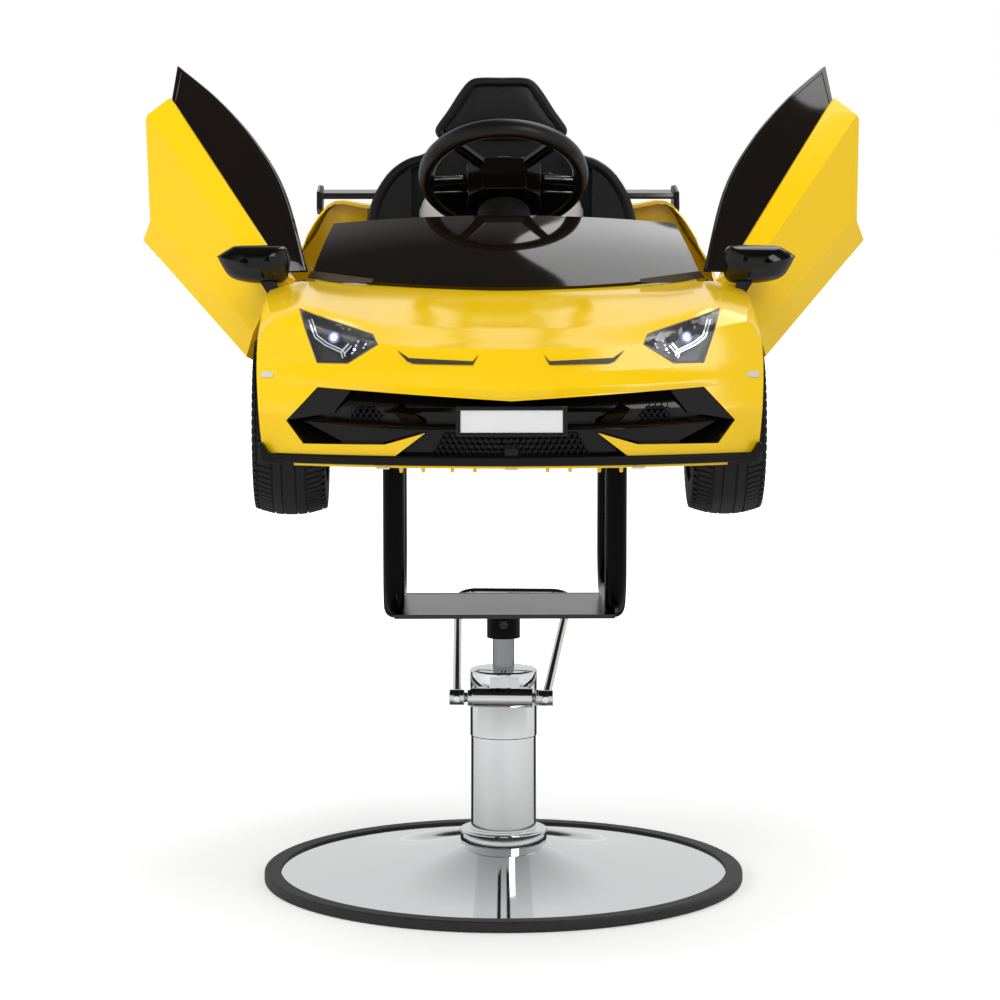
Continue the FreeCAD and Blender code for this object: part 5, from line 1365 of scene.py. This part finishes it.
def tread_block(x0, x1, depth, turn, length, lean=0.0):
    """One raised block on a tyre, at an angle round the axle, between two widths (mm)."""
    shape = bmesh.new()
    bmesh.ops.create_cube(shape, size=1)

    def rule(a, b, c):
        x = x0 + (x1 - x0) * (a + 0.5)
        radius = crown(x) - (depth if c < 0 else 0)
        angle = turn + (b * length + lean * a * (x1 - x0)) / WHEEL_RADIUS
        return Vector((x, radius * math.sin(angle), radius * math.cos(angle))) * MM
    return shaped(shape, rule)


# %% Tyre
widths = (-36.5, -30, -20, -10, 10, 20, 30, 36.5)
blocks = [spun([(-HALF_TREAD, 64), (-HALF_TREAD, 86)] + [(x, crown(x) - 1.7) for x in widths]
               + [(HALF_TREAD, 86), (HALF_TREAD, 64)], AROUND)]
for low, high in ((-17, -8), (-6.6, 6.6), (8, 17)):
    rib = [(low, crown(low) - 4), (low, crown(low) - 0.6), (low + 0.6, crown(low)), (high - 0.6, crown(high)),
           (high, crown(high) - 0.6), (high, crown(high) - 4)]
    blocks.append(spun(rib, AROUND))
for side in (-1, 1):
    for i in range(84):
        blocks.append(tread_block(side * 19, side * 33.5, 3, math.tau * i / 84, 5.9, 0.18 * side))
    for i in range(60):
        blocks.append(tread_block(side * 35, side * HALF_TREAD, 7, math.tau * i / 60, 6.6))
tyre = joined(blocks)
print("tyre faces", len(tyre.faces))

# %% Rim
rim_profile = [(-35, 64), (39, 64), (39, 60), (34, 58.5), (23, 55), (21, 17), (23, 15), (23, 6.06),
               (-38.7, 6.06), (-38.7, 15), (15, 15), (13, 54), (-35, 59)]
windows = []
for index in range(5):
    hole = prism([(p, r - GROUND) for p, r in ((-9, 26), (9, 26), (15, 50), (-15, 50))], 0, 41, "X")
    bmesh.ops.transform(hole, matrix=Matrix.Rotation(math.tau * index / 5, 4, "X"), verts=hole.verts)
    windows.append(hole)
rim = with_cuts(spun(rim_profile, AROUND), windows)

# %% Place the wheels
patterns = (("tyre_", tyre, tyre_plastic, 0.0), ("rim_", rim, rim_silver, 0.5))
for name, side, y in (("front_left", -1, -AXLE_Y), ("front_right", 1, -AXLE_Y), ("rear_left", -1, AXLE_Y),
                      ("rear_right", 1, AXLE_Y)):
    for kind, pattern, material, bevel_mm in patterns:
        shape = flipped(pattern.copy()) if side < 0 else pattern.copy()
        bmesh.ops.translate(shape, verts=shape.verts, vec=on_car(side * WHEEL_X, y, WHEEL_RADIUS))
        node = kind + name
        made(node + "_finished", shape, material, slot_of_node[node], (node,), bevel_mm, 30,
             body=body_of(node))
tyre.free()
rim.free()
print("wheels ready")


# %% [markdown]
# ## Small solids with rounded edges
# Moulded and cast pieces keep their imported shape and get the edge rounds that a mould
# or a grinding wheel leaves.

# %% Rounded copies
other_finish = {"seat_plate": plate_coat, "carriage_bolts": iron}
for node, bevel_mm in (("rear_wing", 0.8), ("engine_cover", 0.7), ("tail_lights", 0.6), ("rear_bumper", 0.8),
                       ("side_sills", 1.5), ("floor_pan", 0.8), ("dashboard", 1.2), ("seat_plate", 1.0),
                       ("rod_socket", 0.8), ("carriage_bolts", 0.6), ("lever_clamps", 0.8),
                       ("lever_bolts", 0.5), ("pump_head", 0.8), ("pump_flange_collar", 0.8)):
    rounded_copy(node, bevel_mm, other_finish.get(node), angle=30)

# %% Collars of the lever and the seam of the pump's sleeve
collar_profile = [(37.6, 6.2), (37.6, 9.2), (38.2, 9.8), (43.4, 9.8), (43.9, 9.2), (43.9, 6.2)]
LEVER_SHAFT = (0, -48, 229)
collars = []
for side in (-1, 1):
    profile = [(side * across, radius) for across, radius in collar_profile]
    collars.append(spun(profile[::side], (1, 0, 0), 48, LEVER_SHAFT))
made("lever_collars", joined(collars), chrome, "chrome", smooth_angle=40, body="lever")
seam = spun([(176.0, 39.2), (176.0, 40.0), (177.2, 40.0), (177.2, 39.2)], (0, 0, 1))
made("sleeve_seam", seam, iron, "chrome", smooth_angle=40, body=body_of("pump_head"))

# %% A bent dark liner below the louvres of the engine cover
cover = welded_copy("engine_cover")
cover_tree = BVHTree.FromBMesh(cover)
cover.free()
cover_line = []
for y in range(242, 427, 8):
    top = cover_tree.ray_cast(Vector((112, y, 1000)) * MM, Vector((0, 0, -1)))[0]
    cover_line.append((y, top.z / MM - GROUND))
liner = [(y, h - 6.5) for y, h in cover_line] + [(y, h - 8.5) for y, h in reversed(cover_line)]
made("engine_bay_liner", prism(liner, -122, 122, "X"), black_satin, "black_satin")
print("small pieces ready")


# %% [markdown]
# ## Light and floor
# A white sweep lit from above and both sides gives the soft, nearly shadowless light
# that glossy plastic and chrome need. The floor glows white only for the camera and for
# mirrors, so it adds no light of its own to the chair, and it keeps the soft shadow.

# %% Floor
def add_stage(name, shape, material):
    thing = loose_object(name, shape)
    dress(thing, material)
    return thing


WHITE = colour("FFFFFF")
floor_paint, tree, shader = blank_material("white_studio_floor", Roughness=0.9, IOR=1.3, Emission_Color=WHITE)
direct = add_node(tree, "ShaderNodeLightPath", output="Is Camera Ray")
mirrored = add_node(tree, "ShaderNodeLightPath", output="Is Glossy Ray")
paint = add_node(tree, "ShaderNodeMix", {6: colour("F4F4F4"), 7: colour("CCCCCC")}, {0: mirrored}, 2,
                 data_type="RGBA")
seen = add_node(tree, "ShaderNodeMath", {}, {0: direct, 1: mirrored}, operation="MAXIMUM")
place = add_node(tree, "ShaderNodeTexCoord", output="Object")
distance = add_node(tree, "ShaderNodeVectorMath", {}, {0: place}, "Value", operation="LENGTH")
far = add_node(tree, "ShaderNodeMapRange", {1: 0.4, 2: 2.2, 3: 0.34, 4: 1.0}, {0: distance})
glow = add_node(tree, "ShaderNodeMath", {}, {0: seen, 1: far}, operation="MULTIPLY")
softer = add_node(tree, "ShaderNodeMath", {1: -0.62, 2: 1.0}, {0: mirrored}, operation="MULTIPLY_ADD")
quiet = add_node(tree, "ShaderNodeMath", {}, {0: glow, 1: softer}, operation="MULTIPLY")
feed(tree, shader, Base_Color=paint, Emission_Strength=quiet)
shape = bmesh.new()
bmesh.ops.create_grid(shape, x_segments=1, y_segments=1, size=20)
bmesh.ops.translate(shape, verts=shape.verts, vec=(0, 0, -0.0002))
add_stage("floor", shape, floor_paint)
print("floor ready")


# %% World
# White for the camera and through glass. Diffuse light fades upwards, and mirrors see a
# bright belt with a dark crown.
world = bpy.data.worlds.new("studio")
bpy.context.scene.world = world
world.use_nodes = True
tree = world.node_tree
background = tree.nodes["Background"]
background.inputs["Color"].default_value = WHITE
direct = add_node(tree, "ShaderNodeLightPath", output="Is Camera Ray")
through_glass = add_node(tree, "ShaderNodeLightPath", output="Is Transmission Ray")
mirrored = add_node(tree, "ShaderNodeLightPath", output="Is Glossy Ray")
seen = add_node(tree, "ShaderNodeMath", {}, {0: direct, 1: through_glass}, operation="MAXIMUM")
direction = add_node(tree, "ShaderNodeTexCoord", output="Generated")
height = add_node(tree, "ShaderNodeSeparateXYZ", {}, {0: direction}, 2)
fade = add_node(tree, "ShaderNodeMapRange", {1: -0.1, 2: 0.9, 3: 0.75, 4: 0.30}, {0: height})
belt = add_node(tree, "ShaderNodeMapRange", {1: 0.42, 2: 0.80, 3: 0.72, 4: 0.06}, {0: height})
shine = add_node(tree, "ShaderNodeMix", {}, {0: mirrored, 2: fade, 3: belt}, data_type="FLOAT")
level = add_node(tree, "ShaderNodeMix", {3: 1.0}, {0: seen, 2: shine}, data_type="FLOAT")
tree.links.new(level, background.inputs["Strength"])


# %% Lamps
def add_lamp(name, size, place, target, watts):
    data = bpy.data.lights.new(name, "AREA")
    data.shape = "RECTANGLE"
    data.size, data.size_y = size
    data.energy = watts
    lamp = bpy.data.objects.new(name, data)
    lamp.location = place
    lamp.rotation_euler = (Vector(target) - Vector(place)).to_track_quat("-Z", "Y").to_euler()
    bpy.context.scene.collection.objects.link(lamp)
    return lamp


add_lamp("key_softbox", (1.2, 1.6), (1.7, -2.4, 2.7), (0, 0, 0.65), 24)
fill = add_lamp("fill_softbox", (1.6, 1.6), (-2.4, -2.2, 1.8), (0, 0, 0.6), 27)
top = add_lamp("top_softbox", (2.0, 2.0), (-0.6, -0.8, 3.2), (0, -0.3, 0.8), 34)
fill.visible_glossy = top.visible_glossy = False
overhead = add_lamp("overhead_disc", (1.9, 1.9), (1.0, 1.5, 3.1), (0.1, 0, 0.7), 26)
overhead.data.shape = "DISK"
print("lamps:", len(bpy.data.lights))


# %% [markdown]
# ## Dark cards
# Polished metal in an all-white room has no edges. A product photographer stands black
# cards beside it, and so does this scene: two wedges on the floor behind the chair and
# two cards before it, which only mirrors see.

# %% Dark cards that only polished metal sees
card_paint = blank_material("dark_card", Base_Color=colour("101010"), Roughness=1.0)[0]


def hidden_card(name, corners):
    shape = bmesh.new()
    shape.faces.new([shape.verts.new(corner) for corner in corners])
    card = add_stage(name, shape, card_paint)
    card.visible_camera = card.visible_diffuse = card.visible_transmission = card.visible_shadow = False


WEDGE_SIDES = [math.radians(131), math.radians(160)]        # turned from the front
lift = Vector((0, 0, 0.001))
for number, side in enumerate((-1, 1)):
    run1, run2 = [Vector((side * math.sin(a), -math.cos(a), 0)) for a in WEDGE_SIDES]
    hidden_card("floor_wedge_" + str(number), [run1 * 0.34 + lift, run1 * 4 + lift, run2 * 4 + lift,
                                               run2 * 0.34 + lift])
    hidden_card("front_card_" + str(number), [(side * x, -4.6, z) for x, z in rect(0.9, 2.1, 1.2, 3.6)])
print("cards ready")


# %% Update the scene and finish
bpy.context.view_layer.update()
